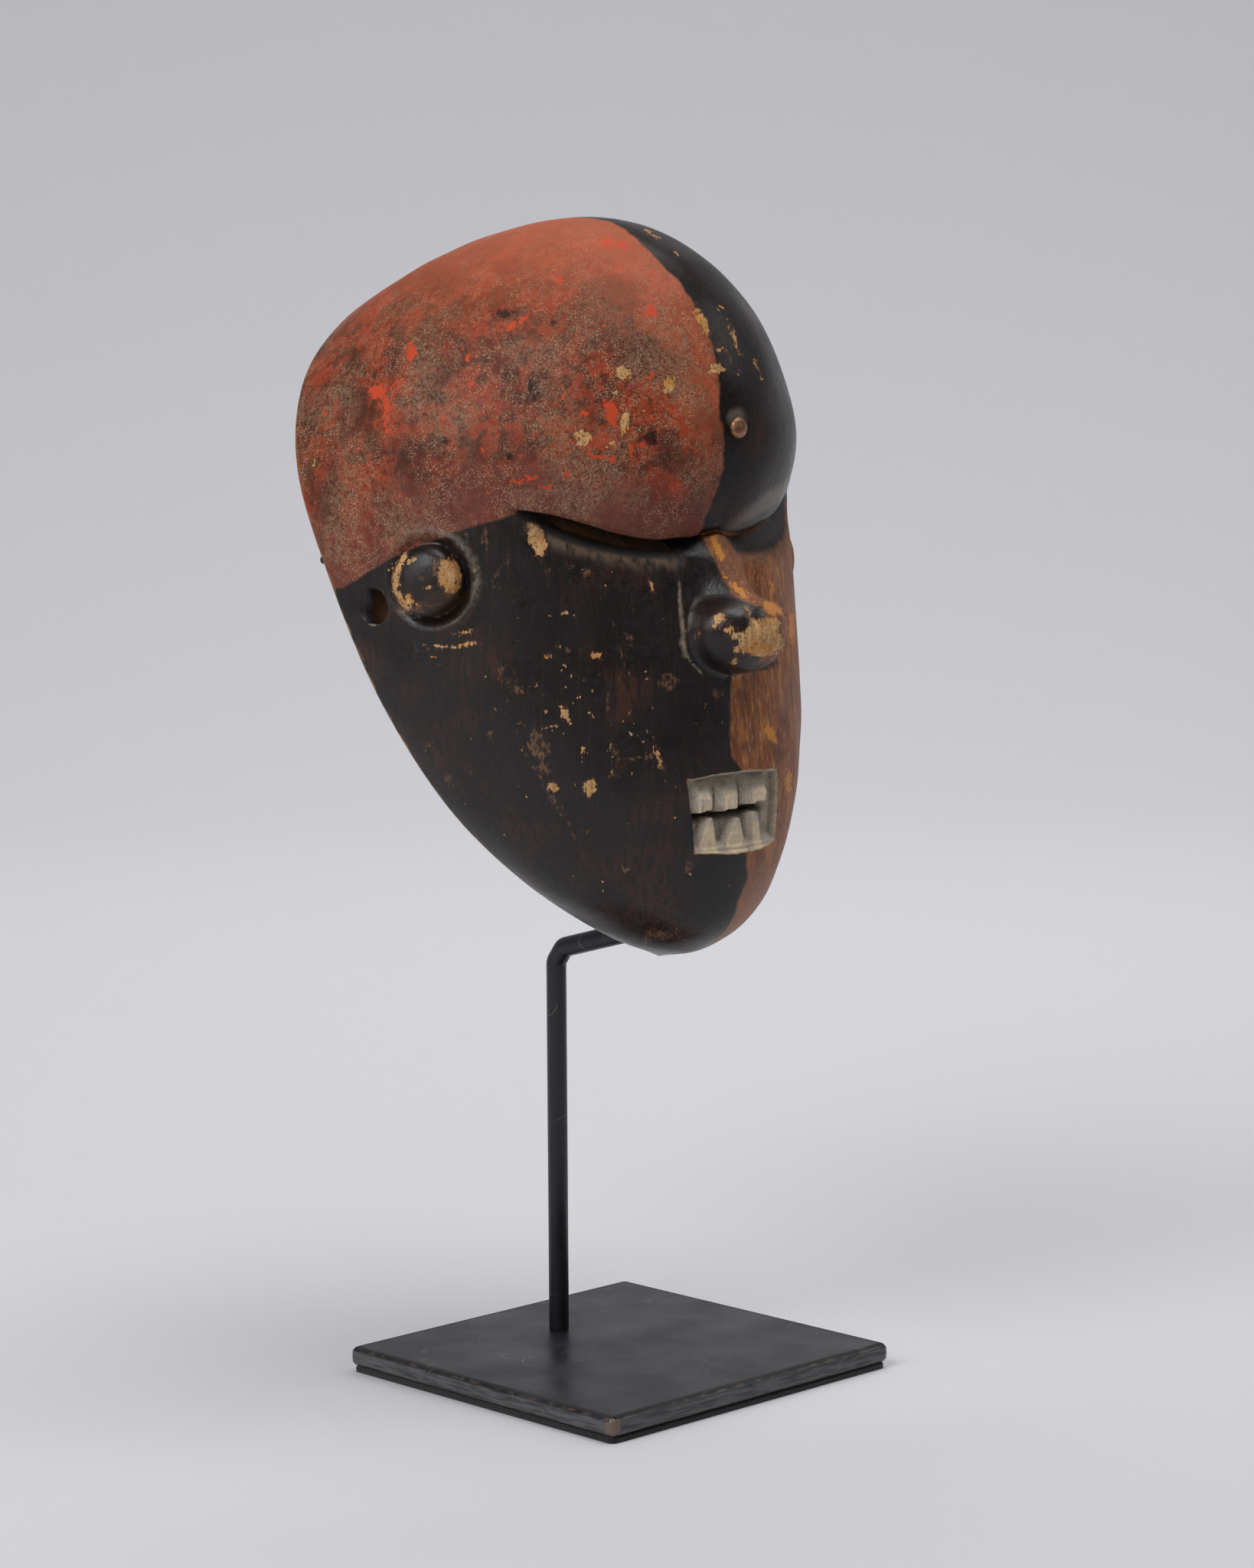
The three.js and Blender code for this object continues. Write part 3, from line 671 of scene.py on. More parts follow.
def form_y_at_mouth(x, z):
    """y of the plain form at places round the mouth."""
    u, degrees = find_on_form(x, z, np.full_like(x, MOUTH["u"]), x * MOUTH["degrees_per_mm"])
    return form_point(u, degrees)[..., 1]


def mouth_cutter():
    """A block whose back is the sunk mouth's bevelled frame, walls, floor and teeth."""
    mask = bpy.context.scene.face_mask
    depth, tooth = mask.mouth_depth / MM, mask.tooth_height / MM
    # From the wood round the mouth over its bevelled edge and down its wall: how far out and how deep.
    border = [(2.6, -9), (1.5, -0.6), (0.9, 0.4), (0.35, 1.2), (0.0, 2.2), (-0.2, depth - 1.2),
              (-0.7, depth - 0.3), (-1.0, depth)]
    outward, deep_at = np.array(border).T
    last = len(border) - 1

    def from_side_to_side(count):
        """Shares from side to side, and how many steps of the border each is from its side."""
        ends = np.full(last, 1.0)
        shares = np.concatenate([-ends, np.linspace(-1, 1, count)[1:-1], ends])
        index = np.arange(len(shares))
        return shares, np.minimum(np.minimum(index, index[::-1]), last)

    (across, ring_across), (up, ring_up) = from_side_to_side(141), from_side_to_side(87)
    across, up = np.meshgrid(across, up)
    ring = np.minimum(ring_across[None, :], ring_up[:, None])
    width = mouth_width(up) / 2
    tall = MOUTH["height"] / 2 + MOUTH["bow"] * (1 - across ** 2)
    x = across * (width + outward[ring_across][None, :]) - MOUTH["lean"] * up
    z = MOUTH["z"] + up * (tall + outward[ring_up][:, None])
    edge = bell(outward[ring] - 0.9, 0.9)
    x = x + edge * waves(z, (0.14, 0.45, 0.4), (0.06, 1.5, 1.0))
    z = z + edge * waves(x, (0.16, 0.4, 0.2), (0.06, 1.3, 1.7))
    relief, _ = tooth_relief(x, z)
    flatter = MOUTH["flatter"] * (2 * x / MOUTH["top"]) ** 2
    gap = MOUTH["gap"] * bell(mouth_gap(x, z), 1.7) * (1 - smoothstep(np.abs(x + 1), 18, 22))
    floor = depth - flatter - tooth * relief + gap * (1 - smoothstep(relief, 0.1, 0.4))
    y = form_y_at_mouth(x, z) + np.where(ring >= last, floor, np.minimum(deep_at[ring], floor))
    sheets = [grid_object("mouth_cut", np.stack([x, front, z], -1)) for front in (y, np.full_like(y, -100))]
    cutter = join(sheets, "mouth_cut")
    close_shell(cutter)
    return cutter


# The places of paint and wear, as fields on the mask's points

# The photograph's camera: its turn and place in metres, its focal length and its frame in pixels.
PHOTO_VIEW = Matrix((
    (0.72192, 0.08674, -0.68652, -1.02277),
    (-0.69186, 0.07233, -0.71840, -1.07903),
    (-0.01266, 0.99360, 0.11223, 0.40211),
    (0, 0, 0, 1),
))
PHOTO_FOCUS = 5000
PHOTO_SIZE = (1638, 2048)

# Marks as seen by the camera, in pixels of its frame: x, y, width, height and, where a mark leans, its
# tilt in degrees.
MARKS = {
    "worn": (
        (750, 950, 250, 260, -20), (700, 880, 200, 120, -30), (880, 1215, 120, 50),
    ),
    # Painted highlight: the first two marks lie along the far brow's lower edge as a pale sheen; the third
    # is pale dust round the tack.
    "haze": (
        (990, 664, 110, 20, 36), (1004, 654, 70, 22, 40), (962, 545, 26, 26),
    ),
    "flake": (
        (493, 512, 27, 18, 5), (505, 534, 9, 34, 4), (519, 503, 28, 9, 28), (538, 458, 14, 22),
        (673, 424, 32, 9, 35), (686, 416, 12, 9), (729, 364, 13, 13), (850, 406, 14, 22, 10),
        (792, 316, 22, 9, -10), (816, 321, 10, 7), (610, 468, 6, 11), (614, 501, 7, 9),
        (739, 519, 16, 8, 15), (762, 540, 14, 8), (798, 538, 16, 34, 12), (797, 599, 22, 8, -10),
        (824, 588, 12, 16, 10), (840, 580, 22, 8, 20), (852, 545, 8, 10), (688, 627, 30, 7, 10),
        (711, 637, 15, 8), (743, 622, 13, 6, -25), (775, 596, 14, 5, -15), (630, 588, 4, 9),
        (636, 632, 5, 26), (606, 452, 8, 5, 20), (706, 541, 8, 9), (699, 504, 10, 5), (877, 538, 8, 9),
        (544, 555, 6, 6), (579, 545, 5, 5), (852, 489, 16, 6, 25), (505, 562, 12, 8), (424, 540, 7, 9),
        (468, 512, 6, 6), (786, 426, 8, 5), (740, 555, 7, 5),
    ),
    "faint": (
        (884, 636, 20, 22, 10), (806, 350, 16, 14), (800, 318, 44, 16, -10), (776, 578, 60, 22),
    ),
    "chip": (
        (814, 487, 26, 20, -15), (874, 502, 18, 22, -15), (815, 552, 16, 30, 5),
        (762, 569, 24, 13, -20), (806, 511, 12, 8), (840, 536, 12, 6), (760, 580, 14, 8),
        (797, 580, 18, 4, 25), (409, 604, 5, 14), (402, 643, 4, 14), (917, 419, 13, 42, 25),
        (940, 402, 9, 5, 30), (958, 441, 7, 34, 20), (940, 457, 10, 8), (954, 468, 5, 6),
        (936, 482, 28, 13, 8), (965, 486, 6, 8), (987, 474, 5, 14, 10), (995, 496, 5, 6),
        (846, 302, 9, 4, -25), (858, 310, 9, 4, -25), (884, 331, 12, 3, -35), (702, 704, 23, 50, 16),
        (714, 724, 5, 6), (742, 741, 18, 4, 18), (734, 802, 21, 4, 6), (609, 826, 24, 7, 6),
        (612, 841, 22, 6, 8), (574, 844, 50, 3, -3), (567, 858, 8, 4), (571, 869, 10, 3, 15),
        (728, 844, 9, 6), (718, 840, 7, 4), (714, 857, 10, 6, 10), (778, 856, 12, 9),
        (851, 764, 5, 14, 15), (846, 887, 5, 6), (844, 877, 4, 5), (763, 887, 4, 4), (700, 887, 4, 6),
        (770, 820, 3, 3), (738, 931, 9, 26, 20), (720, 949, 19, 4, 10), (722, 1029, 16, 14),
        (771, 1029, 18, 22, -15), (861, 990, 6, 30, 15), (586, 752, 26, 44, 2), (588, 776, 18, 18, 20),
        (517, 762, 10, 40, 6), (527, 787, 10, 30, 34), (523, 738, 10, 34, -24), (537, 732, 16, 6, 25),
        (552, 755, 8, 8), (557, 768, 24, 4, 10), (545, 790, 16, 5, -15), (941, 806, 18, 12, 10),
        (934, 817, 10, 12, 20), (950, 820, 14, 6, -35), (976, 799, 14, 16, 30), (994, 838, 62, 40),
        (1000, 818, 44, 26, 10), (962, 852, 11, 11), (962, 826, 20, 10), (958, 866, 14, 4, 5),
        (954, 826, 38, 9, -42), (592, 752, 22, 54, 4), (535, 783, 9, 20, 38), (566, 790, 34, 6, 6),
    ),
    "rubbed": (
        (634, 700, 9, 28, -6), (604, 698, 14, 9), (545, 794, 50, 12, 10), (574, 744, 18, 40),
        (652, 875, 28, 3, 30), (656, 881, 28, 3, 30), (660, 887, 26, 3, 32), (666, 892, 18, 3, 32),
        (676, 901, 20, 10, 10), (822, 877, 4, 15, -34), (936, 906, 22, 13, -25), (655, 742, 5, 32, -38),
        (646, 765, 14, 4, -20), (714, 747, 6, 10), (737, 849, 10, 5), (640, 958, 11, 13),
        (703, 975, 26, 40, 20), (710, 1002, 12, 30, 25), (805, 987, 8, 30), (843, 989, 34, 4, 4),
        (803, 1013, 12, 9), (795, 925, 5, 28), (901, 1133, 11, 16), (819, 1135, 9, 6),
        (586, 1019, 10, 13, 20), (558, 973, 5, 12), (863, 1220, 38, 10, -5), (846, 1226, 8, 20, -30),
        (765, 1085, 14, 5, 10), (809, 845, 3, 34, 14), (822, 836, 8, 20, 30), (580, 846, 52, 4, 6),
        (722, 1042, 5, 100, 31), (712, 1030, 4, 70, 30), (872, 890, 26, 24, -20),
        (766, 748, 18, 12, -20), (913, 829, 14, 14),
    ),
    "stain": (
        (720, 606, 9, 9), (850, 572, 18, 22), (656, 409, 36, 12), (696, 505, 12, 44, 6),
        (581, 575, 16, 11), (664, 597, 15, 11), (710, 491, 18, 9), (723, 423, 12, 12),
        (817, 502, 8, 10, 20), (970, 811, 32, 17, 12), (990, 800, 30, 14, -32), (958, 798, 40, 10, 10),
        (932, 850, 48, 50), (985, 872, 70, 14, 12), (948, 850, 22, 16, -40), (548, 760, 22, 38),
        (556, 742, 16, 18), (550, 780, 24, 10), (595, 761, 4, 4), (590, 730, 10, 8),
    ),
    "yellow": (
        (1006, 958, 12, 26, 38), (1030, 1020, 8, 30), (1034, 820, 9, 40), (1010, 795, 30, 18, -30),
        (1008, 770, 6, 24), (945, 752, 10, 8), (938, 716, 9, 44, 22), (966, 772, 8, 26, 40),
    ),
    "line": (
        (888, 778, 4, 30, 2), (889, 796, 5, 30, 3), (486, 816, 24, 3, -6), (892, 820, 6, 40, 4),
        (893, 846, 8, 24, 10), (905, 867, 4, 32, 42),
    ),
}
# Marks on the mask's left side, as seen in a mirror by the same camera.
LEFT_MARKS = {
    "worn": (
        (760, 960, 160, 200),
    ),
    "yellow": (
        (700, 800, 14, 60, 10), (760, 950, 10, 70, 12), (620, 900, 12, 50),
    ),
    "chip": (
        (560, 480, 14, 20, 20), (640, 410, 26, 8, 20), (700, 560, 12, 26, -20), (820, 470, 10, 16),
        (668, 960, 14, 24, -10), (740, 1040, 18, 10, 10), (780, 900, 8, 20), (590, 820, 20, 8, 10),
        (522, 765, 8, 44, -8), (588, 764, 18, 40, -6), (552, 792, 26, 7, -10), (850, 1130, 10, 18),
    ),
    "rubbed": (
        (600, 540, 40, 40), (800, 420, 30, 50, 20), (700, 1000, 40, 60, -20), (640, 700, 30, 16),
    ),
    "stain": (
        (720, 880, 20, 40), (560, 760, 30, 44), (820, 1100, 30, 24), (650, 1010, 14, 30, -20),
    ),
    "line": (
        (889, 770, 6, 70, 2), (900, 845, 6, 34, 14),
    ),
}

# Heights of the paint's upper edge by degrees round the mask, and places across of its upright edges.
BROW_PAINT = ((0, 333.5), (6, 331), (12, 329.5), (20, 332.5), (30, 339.5), (38, 344), (45, 340), (51, 337),
              (59, 331), (67, 325), (78, 315), (90, 311))
FOREHEAD_PAINT = ((330, -9), (346, -8), (357, -5.5), (378, -8.5), (391, -6), (404, -5), (429, -7),
                  (437, -9), (451, -6))
FACE_PAINT = ((169, 3), (185, 1), (194, 1), (203, 4), (212, 3), (245, -1), (251, -5), (261, -5), (271, -4),
              (280, -2), (290, 0), (300, 2), (306, 0), (309, -4), (312, -6), (333, -6))

# The dust round a knob: how far outside it, how wide, and how much of it lies in front and above.
DUST_RING = {"away": 5.0, "spread": 1.5, "front": 0.75, "above": 0.66}
# What a field of marks says far from every mark, in millimetres.
OUTSIDE = -4.0


def photo_place(points):
    """Where the camera sees points: pixels across and down in its frame."""
    view = np.array(PHOTO_VIEW)
    offset = points * MM - view[:3, 3]
    depth = -offset @ view[:3, 2]
    across = PHOTO_SIZE[0] / 2 + PHOTO_FOCUS * (offset @ view[:3, 0]) / depth
    down = PHOTO_SIZE[1] / 2 - PHOTO_FOCUS * (offset @ view[:3, 1]) / depth
    return across, down, -offset / np.linalg.norm(offset, axis=-1)[:, None]


def mark_field(across, down, marks):
    """How far inside the nearest mark each place is, in millimetres, and below 0 outside."""
    field = np.full_like(across, OUTSIDE)
    for x, y, width, height, *tilt in marks:
        turn = math.radians(sum(tilt))
        right, up = across - x, y - down
        p = (right * math.cos(turn) + up * math.sin(turn)) / (width / 2)
        q = (up * math.cos(turn) - right * math.sin(turn)) / (height / 2)
        size = max(0.9, min(width, height) / 2 * 0.3)
        field = np.maximum(field, size * (1 - np.hypot(p, q)))
    return field


def mark_fields(points, normals):
    """The fields of the marks on the side that the camera sees and, as in a mirror, on the other."""
    fields, unseen = {}, np.full(len(points), True)
    for side, marks in ((1, MARKS), (-1, LEFT_MARKS)):
        flip = (side, 1, 1)
        across, down, to_camera = photo_place(points * flip)
        here = unseen & ((normals * flip * to_camera).sum(-1) > 0.02)
        unseen &= ~here
        here &= (side > 0) | (points[:, 0] > 0)
        for kind in MARKS:
            found = np.where(here, mark_field(across, down, marks.get(kind, ())), OUTSIDE)
            fields[kind] = np.maximum(fields.get(kind, OUTSIDE), found)
    return fields


def by_table(table, value):
    return np.interp(value, [row[0] for row in table], [row[1] for row in table])


def brow_front_y(x):
    """y of the brow's lower edge at x."""
    angles = np.linspace(0, 70, 60)
    edge = form_point(brow_level(angles), angles)
    return np.interp(np.abs(x), edge[:, 0], edge[:, 1] + broad_depth(edge[:, 0], edge[:, 2]))


def nearest_distance(points, targets):
    """How far each point is from the nearest target."""
    tree = kdtree.KDTree(len(targets))
    for i, target in enumerate(targets):
        tree.insert(target, i)
    tree.balance()
    return np.array([tree.find(point)[2] for point in points])


def paint_edges(points):
    """How far points are above the brow's paint edge, and to the left of the upright edges."""
    x, y, z = points.T
    round_mask = np.degrees(np.arctan2(np.abs(x), 60 - y))
    at_brow = (np.abs(x) < 78) & (z < 352) & (z > 318)
    under_brow = np.where(at_brow, y - brow_front_y(x) - 1.2, 0)
    upper = z - by_table(BROW_PAINT, round_mask) - 2.0 * np.clip(under_brow, 0, 4)
    left = np.where(upper > 0, x - by_table(FOREHEAD_PAINT, z), x - by_table(FACE_PAINT, z))
    return np.clip(upper, -40, 120), np.clip(left, -30, 30)


def paint_fields(points, normals, inner_points):
    """The fields that the mask's paint is laid out by."""
    x, y, z = points.T
    from_hollow = nearest_distance(points, inner_points)
    mouth = mouth_field(points) * smoothstep(from_hollow, 1.2, 2.6)
    fields = {"inside": np.where(mouth > 0, 0, 1 - smoothstep(from_hollow, 2.6, 5))}
    fields["upper"], fields["left"] = paint_edges(points)
    fields.update(mark_fields(points, normals))
    fields["mouth"] = mouth
    fields["drilled"] = hole_wall_shade_field(points)
    relief, worn = tooth_relief(x, z)
    sunk = mouth > 0.9
    fields["tooth"] = worn * sunk
    # Painted shade: darker where the teeth stand low, darkest in the gap between the rows.
    crevice = (1 - smoothstep(relief, 0.05, 0.4)) * (1 - smoothstep(np.abs(x + 1), 17, 20))
    fields["crevice"] = crevice * (0.35 + 0.65 * bell(mouth_gap(x, z), 1.9)) * sunk
    fields["ring"] = ring_field(points)
    in_front = y < -20
    beside_nose = 1 - smoothstep(nose_section(x), 0.3, 0.6)
    cut_back = smoothstep(slot_depth(x, z), 0.3, 1.8)
    # Painted shade: where the slot is cut back under the brow, so it can be laid darker than the black
    # paint.
    fields["slot"] = smoothstep(brow_z(x) - z, -1.8, 0.2) * cut_back * beside_nose * in_front
    lip = bell(z - lip_z(x) + 1.2, 3.2) * (1 - smoothstep(np.abs(x), 62, 76)) * smoothstep(np.abs(x), 12, 22)
    fields["lip"] = lip * in_front
    fields["rim"] = np.minimum(30, nearest_distance(points, np.vstack([rim_line(-1), rim_line(1)])))
    return fields


def mouth_field(points):
    """1 in the sunk mouth and on its bevelled frame, 0 elsewhere."""
    x, y, z = points.T
    share = np.clip((z - MOUTH["z"]) / (MOUTH["height"] / 2), -1.2, 1.2)
    frame_across, frame_tall = 1.4, 1.2
    half = mouth_width(share) / 2 + frame_across
    tall = MOUTH["height"] / 2 + MOUTH["bow"] * (1 - (x / half) ** 2) + frame_tall
    near = (np.abs(x + MOUTH["lean"] * share) < half) & (np.abs(z - MOUTH["z"]) < tall) & (y < -45)
    sunk = np.zeros_like(x)
    sunk[near] = y[near] - form_y_at_mouth(x[near], z[near])
    return smoothstep(sunk, 0.1, 0.9)


def hole_wall_shade_field(points):
    """1 on the walls of the side holes, where painted shade darkens the wood, 0 elsewhere."""
    radius = bpy.context.scene.face_mask.hole_radius / MM
    field = np.zeros(len(points))
    for side in (-1, 1):
        centre, out = side_hole_axis(side)
        deep = (points - centre) @ out
        away = np.linalg.norm(points - centre - deep[:, None] * out, axis=-1)
        field = np.maximum(field, (away < 1.03 * radius) & (deep < -0.8))
    return field


def ring_field(points):
    """Dust on the outer lip of the grooves round the knobs, thickest above and in front."""
    radius = bpy.context.scene.face_mask.knob_radius / MM
    field = np.zeros(len(points))
    for degrees in KNOB_ANGLES:
        centre, across, up, out = form_frame(KNOB_U, degrees)
        offset = points - centre
        p, q = offset @ across * np.sign(degrees) * -1, offset @ up
        reach = np.hypot(p, q)
        side = (p * DUST_RING["front"] + q * DUST_RING["above"]) / np.maximum(reach, 1)
        ring = bell(reach - radius - DUST_RING["away"], DUST_RING["spread"])
        ring = ring * smoothstep(side, -0.25, 0.75)
        field = np.maximum(field, ring * (offset @ out > -8))
    return field


def store_fields(obj, fields):
    for name, values in fields.items():
        attribute = obj.data.attributes.new(name, "FLOAT", "POINT")
        attribute.data.foreach_set("value", values.astype(np.float32))


# Materials

class Finish:
    """A material with short calls for the nodes of its pattern."""

    def __init__(self, name):
        self.material = bpy.data.materials.new(name)
        self.material.use_nodes = True
        self.tree = self.material.node_tree
        self.shader = self.tree.nodes["Principled BSDF"]
        self.place = self.node("TexCoord").outputs["Object"]

    def feed(self, socket, value):
        if isinstance(value, bpy.types.NodeSocket):
            self.tree.links.new(value, socket)
        else:
            socket.default_value = value

    def node(self, kind, inputs=None, **settings):
        """A new node with its settings, and with values or other nodes' outputs on its inputs."""
        node = self.tree.nodes.new("ShaderNode" + kind)
        for key, value in settings.items():
            setattr(node, key, value)
        for key, value in (inputs or {}).items():
            self.feed(node.inputs[key], value)
        return node

    def math(self, operation, first, second=0.0):
        return self.node("Math", {0: first, 1: second}, operation=operation).outputs[0]

    def add(self, first, second):
        return self.math("ADD", first, second)

    def times(self, first, second):
        return self.math("MULTIPLY", first, second)

    def most(self, first, *others):
        """The greatest of the patterns at each place."""
        for other in others:
            first = self.math("MAXIMUM", first, other)
        return first

    def total(self, first, *others):
        """The sum of patterns, each given with its height."""
        result = self.times(*first)
        for pattern, height in others:
            result = self.add(result, self.times(pattern, height))
        return result

    def noise(self, size, detail=3.0, stretch=(1, 1, 1), shift=0.0, twist=0.0):
        """Noise whose lumps are about size millimetres, each axis stretched by a factor."""
        mapping = self.node("Mapping", {"Vector": self.place, "Scale": [1 / factor for factor in stretch],
                                        "Location": (shift, shift * 0.7, shift * 0.4)})
        return self.node("TexNoise", {"Vector": mapping.outputs[0], "Scale": 1 / (size * MM),
                                      "Detail": detail, "Distortion": twist}).outputs[0]

    def cells(self, size):
        return self.node("TexVoronoi", {"Vector": self.place, "Scale": 1 / (size * MM)}).outputs["Distance"]

    def field(self, name):
        return self.node("Attribute", attribute_name=name).outputs["Fac"]

    def axis(self, name):
        return self.node("SeparateXYZ", {0: self.place}).outputs[name]

    def step(self, value, low, high, start=0.0, end=1.0):
        """start below low, end above high and smooth between."""
        if low > high:
            low, high, start, end = high, low, end, start
        return self.node("MapRange", {"Value": value, "From Min": low, "From Max": high, "To Min": start,
                                      "To Max": end}, interpolation_type="SMOOTHSTEP").outputs[0]

    def patches(self, size, low, high, start=0.0, end=1.0, **noise):
        """Patches of about size millimetres, where noise rises from low to high."""
        return self.step(self.noise(size, **noise), low, high, start, end)

    def spread(self, noise, width):
        """Noise as a distance to either side of 0, for ragged edges."""
        return self.times(self.add(noise, -0.5), width)

    def mark(self, name, ragged, low, high, start=0.0, end=1.0):
        """The marks of one kind, with their edges made ragged."""
        return self.step(self.add(self.field(name), ragged), low, high, start, end)

    def blend(self, amount, base, top):
        """Mixes two colours, each a plain one or a pattern."""
        base, top = (shade if isinstance(shade, bpy.types.NodeSocket) else (*shade, 1)
                     for shade in (base, top))
        return self.node("Mix", {0: amount, 6: base, 7: top}, data_type="RGBA").outputs[2]

    def blend_value(self, amount, base, top):
        return self.node("Mix", {0: amount, 2: base, 3: top}).outputs[0]

    def coats(self, base, *coats):
        """The base colour with coats over it, each given as where it lies and its colour."""
        for where, shade in coats:
            base = self.blend(where, base, shade)
        return base

    def finish(self, shade, roughness, height, **constants):
        """Connects colour, roughness and height in millimetres, and sets the rest on the shader."""
        bump = self.node("Bump", {"Strength": 1, "Distance": MM, "Height": height})
        sockets = {"Base Color": shade, "Roughness": roughness, "Normal": bump.outputs[0], **constants}
        for name, value in sockets.items():
            self.feed(self.shader.inputs[name], value)
        return self.material


# Colours that only touch up others
CHIN_RED = (0.36, 0.2, 0.135)
LIP_BROWN = (0.16, 0.1, 0.062)
CLAY_DIRT = (0.2, 0.14, 0.1)
SCRATCH_GREY = (0.22, 0.21, 0.2)
STREAK_GREY = (0.12, 0.119, 0.125)
EDGE_BROWN = (0.13, 0.095, 0.07)
CORNER_BROWN = (0.15, 0.105, 0.08)
FELT_DARK, FELT_LIGHT = (0.006, 0.006, 0.007), (0.02, 0.02, 0.022)


def darker(shade, factor):
    return tuple(part * factor for part in shade)


def brick_red(m, tone):
    """Red, lighter towards the crown as painted light from above, and plum on the brow, with brown blotches,
    pale grit and bright flakes.
    """
    dirt = m.patches(6, 0.5, 0.6, end=0.8, detail=6, shift=11)
    mottling = m.patches(1.5, 0.5, 0.64, end=0.55, detail=5, shift=45)
    near_black = m.times(m.step(m.left, -28, -8, 0, 0.35), m.step(m.upper, 26, 46))
    low_brow = m.times(m.step(m.upper, 34, 8), m.patches(48, 0.3, 0.6, 0.4, 0.9, shift=7))
    veil = m.times(m.patches(24, 0.46, 0.62, detail=5, shift=49),
                   m.patches(1.2, 0.38, 0.6, detail=4, shift=51))
    grit = m.times(m.patches(0.5, 0.52, 0.58, shift=13), m.patches(3, 0.34, 0.58, detail=5, shift=37))
    grit_area = m.times(m.patches(20, 0.36, 0.58, 0.2, 1, detail=4, shift=15),
                        m.step(m.height_z, 0.44, 0.405, 0.45, 1))
    m.grit = m.times(grit, grit_area)
    ragged = m.add(m.spread(m.speck, 5.5), m.spread(m.fine, 4))
    stray = m.times(m.patches(3.2, 0.70, 0.73, detail=4, shift=21), m.step(m.blotch, 0.5, 0.6))
    return m.coats(
        tone.red,
        (m.step(m.blotch, 0.4, 0.62), tone.dull_red),
        (dirt, darker(tone.brown, 0.8)),
        (mottling, darker(tone.brown, 0.7)),
        # Painted light: the red lighter towards the top, as if lit from above.
        (m.step(m.height_z, 0.4, 0.45, 0, 0.65), tone.crown),
        (near_black, tone.crown),
        (low_brow, tone.plum),
        (m.times(veil, m.step(m.height_z, 0.43, 0.4, 0.1, 0.5)), darker(tone.grime, 0.5)),
        (m.times(m.grit, 0.72), tone.grime),
        (m.mark("faint", ragged, -0.6, 1.2, 0, 0.45), tone.vermilion),
        (m.mark("flake", ragged, 0.0, 0.35), tone.vermilion),
        (stray, tone.vermilion),
    )


def soot_black(m, tone):
    """Black, with brown where it is thin and along its fibres."""
    thin = m.times(m.patches(26, 0.47, 0.7, detail=5, shift=17), m.step(m.grain, 0.35, 0.6))
    return m.coats(
        tone.black,
        (m.times(thin, m.add(m.times(m.worn, 0.5), 0.45)), tone.brown),
        (m.times(m.step(m.fibre, 0.5, 0.72), 0.2), tone.brown),
    )


def ochre_paint(m, tone):
    """Ochre, with upright streaks of brown and yellow, and redder towards the chin."""
    return m.coats(
        darker(tone.ochre, 0.6),
        (m.step(m.grain, 0.35, 0.7), tone.ochre),
        (m.patches(3, 0.52, 0.7, end=0.5, detail=4, stretch=(1, 1, 5), shift=19), tone.yellow),
        (m.patches(0.8, 0.52, 0.66, end=0.4, stretch=(1, 1, 6), shift=43), tone.grime),
        (m.patches(14, 0.5, 0.7, end=0.6, detail=4, shift=23), tone.brown),
        (m.mark("yellow", m.spread(m.speck, 4), -0.3, 0.6), tone.yellow),
        (m.step(m.height_z, 0.225, 0.185, 0, 0.55), CHIN_RED),
    )


def bare_wood(m, tone):
    """Wood where the paint is chipped off, yellow and brown in places."""
    return m.coats(
        darker(tone.bare, 0.62),
        (m.step(m.grain, 0.35, 0.7), tone.bare),
        (m.patches(7, 0.45, 0.62, end=0.6, shift=41), tone.yellow),
        (m.patches(1.0, 0.5, 0.66, end=0.6, detail=5, shift=35), tone.brown),
    )


def white_clay(m, tone):
    """White clay in the mouth and cream on the teeth's fronts, with painted shade near-black between the
    teeth and in the gap between the rows.
    """
    cream = m.times(m.field("tooth"), m.patches(2.2, 0.3, 0.6, 0.35, 1, shift=33))
    return m.coats(
        tone.clay,
        (m.patches(0.4, 0.4, 0.66, detail=4, shift=29), darker(tone.clay, 0.6)),
        (m.patches(4, 0.5, 0.72, end=0.5, detail=4, shift=31), CLAY_DIRT),
        (m.times(cream, 0.8), tone.cream),
        # Painted shade between the teeth and in the gap between the rows.
        (m.field("crevice"), darker(tone.black, 0.7)),
    )


def raw_wood(m, tone):
    """The unpainted wood of the hollow."""
    return m.coats(
        darker(tone.raw, 0.5),
        (m.step(m.grain, 0.3, 0.7), tone.raw),
        (m.step(m.blotch, 0.45, 0.65, 0, 0.5), darker(tone.raw, 0.45)),
    )


